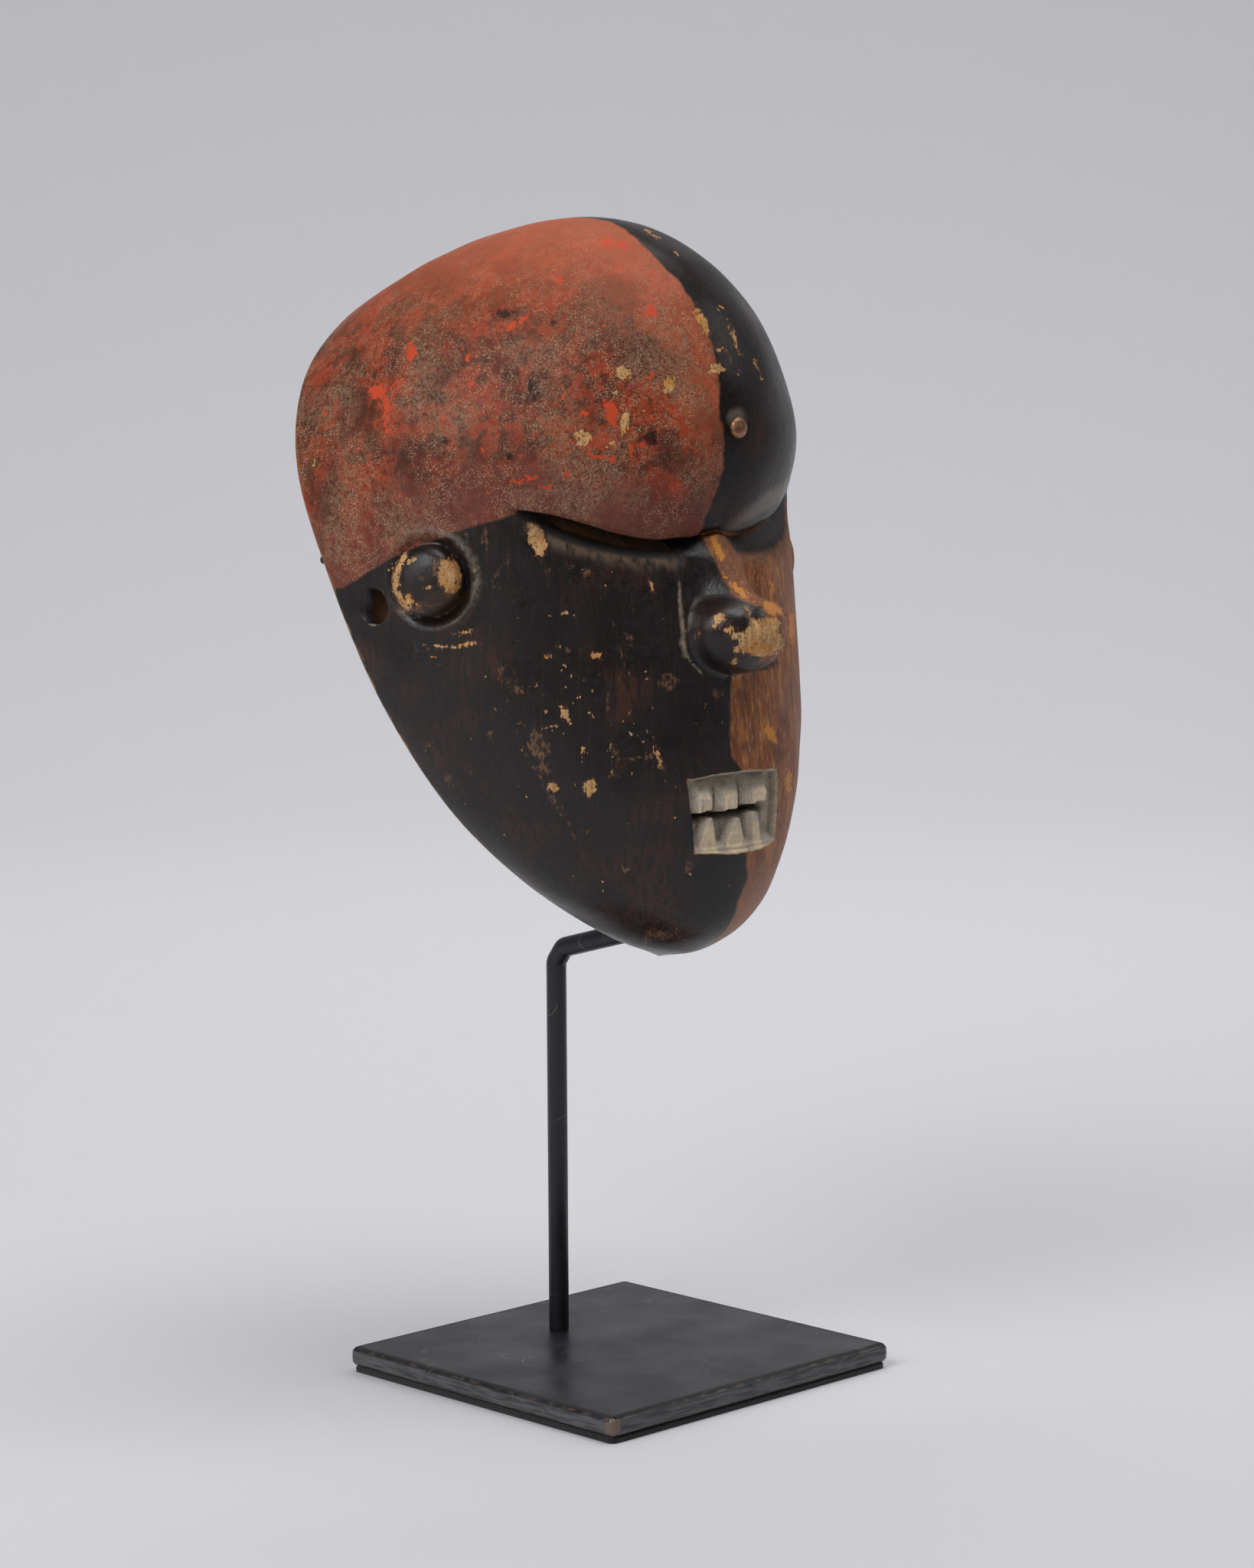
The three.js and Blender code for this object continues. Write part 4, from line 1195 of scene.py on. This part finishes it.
def painted_wood():
    """Worn red, black and ochre paint, white clay in the mouth and raw wood in the hollow."""
    tone = bpy.context.scene.mask_finish
    m = Finish("painted_wood")
    upper, left = m.upper, m.left = m.field("upper"), m.field("left")
    m.height_z = m.axis("Z")
    m.worn = m.step(m.field("worn"), 0, 16)
    fine, speck, blotch = m.noise(1.1), m.noise(2.4, 4, shift=9), m.noise(17, 5, shift=5)
    m.fine, m.speck, m.blotch = fine, speck, blotch
    m.grain = m.noise(1.7, 5, stretch=(1, 1, 9), shift=2)
    fibre = m.fibre = m.noise(0.9, 2, stretch=(1, 1, 22), shift=4)
    edge_noise = m.noise(6, 4, shift=3)

    # The four fields of paint, with edges that sway.
    sway = m.spread(edge_noise, 3.5)
    is_left = m.step(m.add(left, sway), -0.9, 0.9)
    black = soot_black(m, tone)
    above = m.blend(is_left, brick_red(m, tone), black)
    below = m.blend(is_left, black, ochre_paint(m, tone))
    paint = m.blend(m.step(m.add(upper, m.times(sway, 0.6)), -0.8, 0.8), below, above)

    # Wear: rubbed tan, brown round the chips, bare wood and black stains.
    ragged = m.add(m.spread(speck, 3.4), m.spread(fine, 2.4))
    streaky = m.add(ragged, m.spread(fibre, 2))
    rubbed = m.times(m.mark("rubbed", m.times(streaky, 1.3), -0.5, 1.0),
                     m.patches(1.2, 0.42, 0.58, 0.1, 1, detail=4, stretch=(1, 1, 2), shift=47))
    wear = m.add(m.noise(2.4, stretch=(1, 1, 1.4), shift=25), m.times(m.worn, 0.055))
    nick = m.times(m.step(wear, 0.73, 0.755), m.step(upper, 0, -4))
    chip = m.most(m.mark("chip", streaky, 0.0, 0.35), nick)
    paint = m.coats(
        paint,
        (m.times(rubbed, 0.85), tone.tan),
        (m.times(m.mark("chip", streaky, -0.8, 0.2), 0.5), tone.brown),
        (chip, bare_wood(m, tone)),
        (m.times(m.mark("stain", ragged, -0.5, 0.9), 0.88), tone.black),
    )

    # The worn lip, painted shade in the slot under the brow, pale dust in the grooves, a painted highlight
    # on the far brow's edge, and the bare rim.
    line = m.mark("line", m.spread(speck, 2.4), -0.6, 1.1)
    ring = m.times(m.field("ring"), m.step(speck, 0.25, 0.65))
    dusty = m.most(m.times(line, 0.75), m.times(ring, 0.45))
    # Painted highlight along the far brow's lower edge, with pale dust round the tack, both in the dust
    # colour.
    haze = m.mark("haze", m.spread(speck, 2), -1.2, 2.2)
    lip = m.times(m.field("lip"), m.patches(3, 0.3, 0.65, detail=4, stretch=(1, 1, 3), shift=27))
    rim = m.times(m.mark("rim", m.spread(edge_noise, 3), 1.3, 0.5),
                  m.patches(9, 0.4, 0.62, 0.15, 0.75, detail=4, shift=39))
    paint = m.coats(
        paint,
        (m.times(lip, 0.75), LIP_BROWN),
        # Painted shade: the slot under the brow, darker than the black paint.
        (m.times(m.field("slot"), 0.96), darker(tone.black, 0.4)),
        # Painted highlight on the far brow's edge, with pale dust round the tack.
        (m.times(haze, 0.3), tone.dust),
        (dusty, tone.dust),
        (rim, darker(tone.bare, 0.42)),
    )

    # The mouth with its worn edge, painted shade on the walls of the side holes, and the hollow.
    mouth, inside = m.field("mouth"), m.field("inside")
    edge_line = m.times(m.step(mouth, 0.01, 0.08), m.step(speck, 0.32, 0.5))
    paint = m.coats(
        paint,
        (m.times(edge_line, 0.9), darker(tone.bare, 0.6)),
        (m.step(mouth, 0.3, 0.65), white_clay(m, tone)),
        # Painted shade: the side holes' walls darkened almost to black.
        (m.times(m.field("drilled"), 0.9), darker(tone.raw, 0.2)),
        (inside, raw_wood(m, tone)),
    )

    # Gloss and height. The black is the glossiest.
    unpainted = m.most(mouth, inside)
    matt = m.most(unpainted, m.most(dusty, lip, m.times(chip, 0.8)))
    is_black = m.blend_value(m.step(upper, -0.8, 0.8), m.math("SUBTRACT", 1.0, is_left), is_left)
    gloss = m.blend_value(is_black, m.step(blotch, 0.3, 0.7, 0.48, 0.58),
                          m.step(blotch, 0.3, 0.7, 0.26, 0.36))
    height = m.total(
        (fine, 0.05), (speck, 0.09), (fibre, 0.04),
        (m.most(chip, m.times(rubbed, 0.4)), -0.16),
        (m.grit, 0.06),
        (m.times(m.cells(13), inside), 1.3),
        (m.times(fine, unpainted), 0.25),
    )
    return m.finish(paint, m.add(gloss, m.times(matt, 0.35)), height,
                    **{"Specular IOR Level": m.step(upper, -1, 1, 0.42, 0.2)})


def blackened_steel(name, on_plate=False):
    """Satin black paint on steel with fine scratches, streaked and worn bare at a corner on the plate."""
    tone = bpy.context.scene.mask_finish
    m = Finish(name)
    cloud, fine = m.noise(30, 4, shift=2), m.noise(0.8, shift=5)
    thread = m.math("ABSOLUTE", m.math("SUBTRACT", m.noise(38, 1.5, shift=7, twist=0.6), 0.5))
    scratch = m.times(m.step(thread, 0.0035, 0.0012), m.patches(11, 0.5, 0.6, detail=2, shift=9))
    worn = m.times(m.field("edge"), m.patches(5, 0.46, 0.62, detail=4, shift=11))
    coats = [(m.step(cloud, 0.35, 0.7), darker(tone.steel, 1.5)), (m.times(scratch, 0.5), SCRATCH_GREY)]
    if on_plate:
        below_edge = m.step(m.axis("Z"), (PLATE_TOP - 1.1) * MM, (PLATE_TOP - 2.0) * MM)
        streaks = m.patches(0.9, 0.36, 0.62, 0.25, 1, detail=4, stretch=(12, 12, 1), shift=15)
        coats.append((m.times(m.times(below_edge, streaks), 0.8), STREAK_GREY))
    coats.append((m.times(worn, 0.7), EDGE_BROWN))
    if on_plate:
        gaps = [m.math("ABSOLUTE", m.add(m.axis(axis), PLATE_SIDE / 2 * MM)) for axis in "XY"]
        from_corner = m.add(m.add(*gaps), m.spread(m.noise(2.5, shift=13), 0.0045))
        coats.append((m.step(from_corner, 0.0042, 0.0034), CORNER_BROWN))
    roughness = m.step(m.add(cloud, m.times(fine, 0.3)), 0.4, 0.9, 0.3, 0.46)
    return m.finish(m.coats(tone.steel, *coats), roughness, m.times(fine, 0.02),
                    **{"Specular IOR Level": 0.42})


def black_felt():
    m = Finish("black_felt")
    fluff = m.noise(0.5, 4)
    shade = m.blend(m.step(fluff, 0.35, 0.7), FELT_DARK, FELT_LIGHT)
    return m.finish(shade, 0.95, m.times(fluff, 0.2), **{"Sheen Weight": 0.25})


def dull_copper():
    tone = bpy.context.scene.mask_finish
    m = Finish("dull_copper")
    tarnish = m.noise(2.2, 4)
    shade = m.blend(m.step(tarnish, 0.4, 0.65), tone.copper, darker(tone.copper, 0.4))
    roughness = m.step(tarnish, 0.35, 0.7, 0.32, 0.5)
    return m.finish(shade, roughness, m.times(m.noise(0.7), 0.03), Metallic=0.6)


# Pieces

SKIN_GRID, HOLLOW_GRID = (280, 236), (90, 80)
# In millimetres: the radius of the tack's pin and of its hole, with where they end, and the start, edge
# and dome of its head.
TACK = {"pin": 1.1, "pin_end": -6, "head_z": 0.2, "head_edge": 0.45, "dome": 2.35,
        "hole": 1.4, "hole_end": -7, "hole_top": 3}
# A rod's sides, the length in millimetres that each bend is softened over and in how many parts, and
# the share of its radius that its ends are rounded by.
ROD = {"sides": 40, "soft": 1.2, "parts": 4, "end_round": 0.12}
FELT_EDGE = 0.3
SMOOTH_BELOW = 38


def vertex_rows(obj, key):
    """The vertices' places ("co") or normals ("normal"), one to a row."""
    values = np.empty(3 * len(obj.data.vertices))
    obj.data.vertices.foreach_get(key, values)
    return values.reshape(-1, 3)


def finish_piece(obj, name, material, slot, *nodes):
    """Names a piece, places it, smooths its shading and sets it in the frame."""
    obj.name = name
    obj.data.name = name
    obj.data.materials.clear()
    obj.data.materials.append(material)
    make_active(obj)
    bpy.ops.object.transform_apply(location=True, rotation=True, scale=True)
    bpy.ops.object.shade_smooth_by_angle(angle=math.radians(SMOOTH_BELOW))
    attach(obj, "root")
    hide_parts(*nodes)


class MESH_OT_carved_mask(bpy.types.Operator):
    """Carve the hollow mask with its brow, nose, knobs, mouth and teeth"""
    bl_idname = "mesh.carved_mask_add"
    bl_label = "Carved Mask"

    def execute(self, context):
        hollow = inner_skin(*HOLLOW_GRID)
        skins = [grid_object("outside", outer_skin(*SKIN_GRID)), grid_object("hollow", hollow)]
        mask = join(skins, "carved_mask")
        close_shell(mask)
        for degrees in KNOB_ANGLES:
            combine(mask, knob_solid(degrees), "UNION")
        for side in (-1, 1):
            combine(mask, side_hole_drill(side), "DIFFERENCE")
            combine(mask, slit_cutter(side), "DIFFERENCE")
        combine(mask, mouth_cutter(), "DIFFERENCE")
        centre, *directions = form_frame(TACK_U, 0)
        profile = [(TACK["hole"], TACK[end]) for end in ("hole_end", "hole_top")]
        combine(mask, hand_turned("tack_hole", centre, directions, profile, 0, 24), "DIFFERENCE")
        fields = paint_fields(vertex_rows(mask, "co") / MM, vertex_rows(mask, "normal"),
                              hollow.reshape(-1, 3))
        store_fields(mask, fields)
        finish_piece(mask, "carved_mask", painted_wood(), "painted_wood", "mask")
        return {"FINISHED"}


def extrude_by(step):
    bpy.ops.mesh.extrude_region_move(TRANSFORM_OT_translate={"value": step})


def start_edit():
    bpy.ops.object.mode_set(mode="EDIT")
    bpy.ops.mesh.select_all(action="SELECT")


def bent_rod(radius, corners):
    """A round rod drawn through its corners, with each bend in the middle plane softened."""
    corners = [Vector(corner) * MM for corner in corners]
    place, step = corners[0].copy(), corners[1] - corners[0]
    deselect_all()
    bpy.ops.mesh.primitive_circle_add(vertices=ROD["sides"], radius=radius, fill_type="NGON",
                                      location=place, rotation=step.to_track_quat("Z", "Y").to_euler())
    rod = bpy.context.object
    bpy.ops.object.transform_apply(location=True, rotation=True, scale=True)
    start_edit()
    soft, parts = ROD["soft"] * MM, ROD["parts"]
    for corner, following in zip(corners[1:-1], corners[2:]):
        ahead, beyond = (corner - place).normalized(), (following - corner).normalized()
        turn = math.atan2(ahead.cross(beyond).x, ahead.dot(beyond))
        extrude_by(corner - ahead * soft - place)
        place = corner - ahead * soft
        for k in range(parts):
            chord = Matrix.Rotation(turn * (k + 0.5) / parts, 3, "X") @ ahead * (2 * soft / parts)
            extrude_by(chord)
            place = place + chord
            bpy.ops.transform.rotate(value=-turn / parts, orient_axis="X", center_override=place)
    extrude_by(corners[-1] - place)
    bpy.ops.object.mode_set(mode="OBJECT")

    def round_ends(mesh):
        bmesh.ops.recalc_face_normals(mesh, faces=mesh.faces)
        ends = [edge for face in mesh.faces if len(face.verts) > 4 for edge in face.edges]
        bmesh.ops.bevel(mesh, geom=ends, offset=ROD["end_round"] * radius, segments=2,
                        affect="EDGES", profile=0.5)

    edit(rod, round_ends)
    store_fields(rod, {"edge": np.zeros(len(rod.data.vertices))})
    return rod


class MESH_OT_stand_rods(bpy.types.Operator):
    """Bend the main rod and add the upright and the crossbar behind the mask"""
    bl_idname = "mesh.mask_stand_rods_add"
    bl_label = "Stand Rods"

    def execute(self, context):
        stand = context.scene.mask_stand
        steel = blackened_steel("black_steel_rods")
        for name, radius, corners, node in (
                ("bent_rod", stand.rod_radius, ROD_CORNERS, "stand_post"),
                ("upright_rod", stand.riser_radius, RISER_ENDS, "stand_riser"),
                ("crossbar_rod", stand.crossbar_radius, CROSSBAR_ENDS, "stand_crossbar")):
            finish_piece(bent_rod(radius, corners), name, steel, "black_steel", node)
        return {"FINISHED"}


def slab(side, bottom, top, corner_round, edge_round, soften_all=False):
    """A square slab whose corners, or else all of its edges, are rounded, and then its level edges."""
    deselect_all()
    bpy.ops.mesh.primitive_cube_add(size=1, location=(0, 0, (bottom + top) / 2 * MM),
                                    scale=(side * MM, side * MM, (top - bottom) * MM))
    plate = bpy.context.object
    bpy.ops.object.transform_apply(location=True, rotation=True, scale=True)
    bpy.context.tool_settings.mesh_select_mode = (False, True, False)
    for upright, width, segments in ((True, corner_round, 6), (False, edge_round, 4)):
        for item in (*plate.data.vertices, *plate.data.polygons):
            item.select = False
        for edge in plate.data.edges:
            low, high = (plate.data.vertices[index].co.z for index in edge.vertices)
            edge.select = (abs(high - low) > 1e-6) == upright or (soften_all and upright)
        bpy.ops.object.mode_set(mode="EDIT")
        bpy.ops.mesh.bevel(offset=width, segments=segments, affect="EDGES")
        bpy.ops.object.mode_set(mode="OBJECT")
    return plate


class MESH_OT_foot_plate(bpy.types.Operator):
    """Lay the square steel plate and the felt pad under it"""
    bl_idname = "mesh.mask_foot_plate_add"
    bl_label = "Foot Plate"

    def execute(self, context):
        stand = context.scene.mask_stand
        plate = slab(PLATE_SIDE, PLATE_BOTTOM, PLATE_TOP, stand.corner_round, stand.edge_round,
                     soften_all=True)
        points = np.abs(vertex_rows(plate, "co") / MM - [0, 0, (PLATE_TOP + PLATE_BOTTOM) / 2])
        rounded = stand.edge_round / MM * 0.9
        at_side = points[:, :2].max(-1) > PLATE_SIDE / 2 - rounded
        at_face = points[:, 2] > (PLATE_TOP - PLATE_BOTTOM) / 2 - rounded
        store_fields(plate, {"edge": (at_side & at_face).astype(float)})
        steel = blackened_steel("black_steel_plate", on_plate=True)
        finish_piece(plate, "foot_plate", steel, "black_steel", "base_plate")
        felt = slab(FELT_SIDE, 0, FELT_TOP, stand.corner_round, FELT_EDGE * MM)
        finish_piece(felt, "felt_under_plate", black_felt(), "black_felt", "felt_pad")
        return {"FINISHED"}


class MESH_OT_forehead_tack(bpy.types.Operator):
    """Drive the domed tack into the forehead"""
    bl_idname = "mesh.forehead_tack_add"
    bl_label = "Forehead Tack"

    def execute(self, context):
        radius = context.scene.mask_stand.tack_radius
        pin, pin_end, head_z, head_edge, dome = (
            TACK[key] * MM for key in ("pin", "pin_end", "head_z", "head_edge", "dome"))
        deselect_all()
        bpy.ops.mesh.primitive_circle_add(vertices=48, radius=pin, fill_type="NGON",
                                          location=(0, 0, pin_end))
        tack = context.object
        bpy.ops.object.transform_apply(location=True)
        start_edit()
        extrude_by((0, 0, head_z - pin_end))
        extrude_by((0, 0, 0))
        bpy.ops.transform.resize(value=(radius / pin,) * 3, center_override=(0, 0, head_z))
        extrude_by((0, 0, head_edge))
        turns = np.radians(np.linspace(0, 84, 12))
        for before, after in zip(turns[:-1], turns[1:]):
            extrude_by((0, 0, dome * (math.sin(after) - math.sin(before))))
            shrink = math.cos(after) / math.cos(before)
            bpy.ops.transform.resize(value=(shrink, shrink, 1),
                                     center_override=(0, 0, head_z + head_edge))
        bpy.ops.object.mode_set(mode="OBJECT")
        edit(tack, lambda mesh: bmesh.ops.recalc_face_normals(mesh, faces=mesh.faces))
        centre, *directions = form_frame(TACK_U, 0)
        turned = Matrix(np.stack(directions, -1).tolist()).to_4x4()
        tack.matrix_world = Matrix.Translation(Vector(centre) * MM) @ turned
        finish_piece(tack, "tack", dull_copper(), "brass", "forehead_tack")
        return {"FINISHED"}


# Stage

AIM = (0, 0, 0.3)
# The lights' places, what they point at, and their widths and lengths, in metres.
LIGHTS = {
    "top": ((0.2, -0.5, 2.4), AIM, (1.2, 1.2)),
    "side": ((-1.75, -0.3, 1.75), AIM, (1.2, 1.2)),
    "fill": ((1.5, -0.9, 1.6), AIM, (0.8, 0.8)),
    "low": ((-1.8, 0.2, 0.8), AIM, (0.8, 0.8)),
    "backdrop": ((0.8, 0.85, 2.3), (2.4, 2.5, 0), (2.0, 1.0)),
}
ROOM_LIGHT = {"Color": (0.97, 0.97, 1, 1), "Strength": 0.02}
FLOOR_FINISH = {"Roughness": 0.85, "Specular IOR Level": 0.1}
SENSOR_WIDTH = 36
NEAREST_SEEN = 0.02


def soft_light(name, place, target, size, energy):
    deselect_all()
    bpy.ops.object.light_add(type="AREA", location=place)
    light = bpy.context.object
    light.name = name
    light.data.shape = "RECTANGLE"
    light.data.size, light.data.size_y = size
    light.data.energy = energy
    light.rotation_euler = (Vector(target) - Vector(place)).to_track_quat("-Z", "Y").to_euler()


def studio_floor(shade):
    """A wide round floor that curves up into a wall. The lengths are in metres."""
    flat, curve, top, rings = 1.8, 2.4, 4.4, 5
    turns = np.linspace(0, 2 * np.pi, 97)
    bend = np.linspace(0, np.pi / 2, 25)[1:]
    level = np.linspace(0, flat, rings)
    radii = np.concatenate([level, flat + curve * np.sin(bend), [flat + curve]])[:, None]
    heights = np.concatenate([np.zeros(rings), curve * (1 - np.cos(bend)), [top]])[:, None]
    sweep = np.stack(np.broadcast_arrays(radii * np.cos(turns), radii * np.sin(turns), heights), -1)
    floor = grid_object("studio_floor", sweep / MM)
    edit(floor, lambda mesh: bmesh.ops.remove_doubles(mesh, verts=mesh.verts, dist=1e-5))
    for polygon in floor.data.polygons:
        polygon.use_smooth = True
    material = bpy.data.materials.new("studio_floor")
    material.use_nodes = True
    inputs = material.node_tree.nodes["Principled BSDF"].inputs
    for name, value in {"Base Color": (*shade, 1), **FLOOR_FINISH}.items():
        inputs[name].default_value = value
    floor.data.materials.append(material)


class SCENE_OT_studio_stage(bpy.types.Operator):
    """Set the plain floor, the soft lights and the camera"""
    bl_idname = "scene.studio_stage_add"
    bl_label = "Studio Stage"

    def execute(self, context):
        scene = context.scene
        studio_floor(scene.mask_stage.floor)
        for name, (place, target, size) in LIGHTS.items():
            soft_light(name, place, target, size, getattr(scene.mask_stage, name))
        scene.world = bpy.data.worlds.new("studio")
        scene.world.use_nodes = True
        for name, value in ROOM_LIGHT.items():
            scene.world.node_tree.nodes["Background"].inputs[name].default_value = value
        deselect_all()
        bpy.ops.object.camera_add()
        camera = context.object
        camera.matrix_world = PHOTO_VIEW
        camera.data.sensor_width = SENSOR_WIDTH
        camera.data.lens = SENSOR_WIDTH * PHOTO_FOCUS / max(PHOTO_SIZE)
        camera.data.clip_start = NEAREST_SEEN
        scene.camera = camera
        scene.view_settings.view_transform = "Standard"
        return {"FINISHED"}


class VIEW3D_PT_face_mask(bpy.types.Panel):
    """Lists the settings and the pieces"""
    bl_label = "Face Mask"
    bl_space_type = "VIEW_3D"
    bl_region_type = "UI"
    bl_category = "Face Mask"

    def draw(self, context):
        for name, group in GROUPS.items():
            box = self.layout.box()
            for key in group.__annotations__:
                box.prop(getattr(context.scene, name), key)
        for operator in OPERATORS:
            self.layout.operator(operator.bl_idname)


OPERATORS = (MESH_OT_carved_mask, MESH_OT_forehead_tack, MESH_OT_stand_rods, MESH_OT_foot_plate,
             SCENE_OT_studio_stage)
GROUPS = {"face_mask": MaskSettings, "mask_stand": StandSettings, "mask_finish": FinishSettings,
          "mask_stage": StageSettings}


def register():
    for item in (*GROUPS.values(), *OPERATORS, VIEW3D_PT_face_mask):
        bpy.utils.register_class(item)
    for name, group in GROUPS.items():
        setattr(bpy.types.Scene, name, PointerProperty(type=group))


def unregister():
    for name in GROUPS:
        delattr(bpy.types.Scene, name)
    for item in reversed((*GROUPS.values(), *OPERATORS, VIEW3D_PT_face_mask)):
        bpy.utils.unregister_class(item)


def main():
    register()
    bpy.ops.mesh.carved_mask_add()
    bpy.ops.mesh.forehead_tack_add()
    bpy.ops.mesh.mask_stand_rods_add()
    bpy.ops.mesh.mask_foot_plate_add()
    bpy.ops.scene.studio_stage_add()


if __name__ == "__main__":
    main()
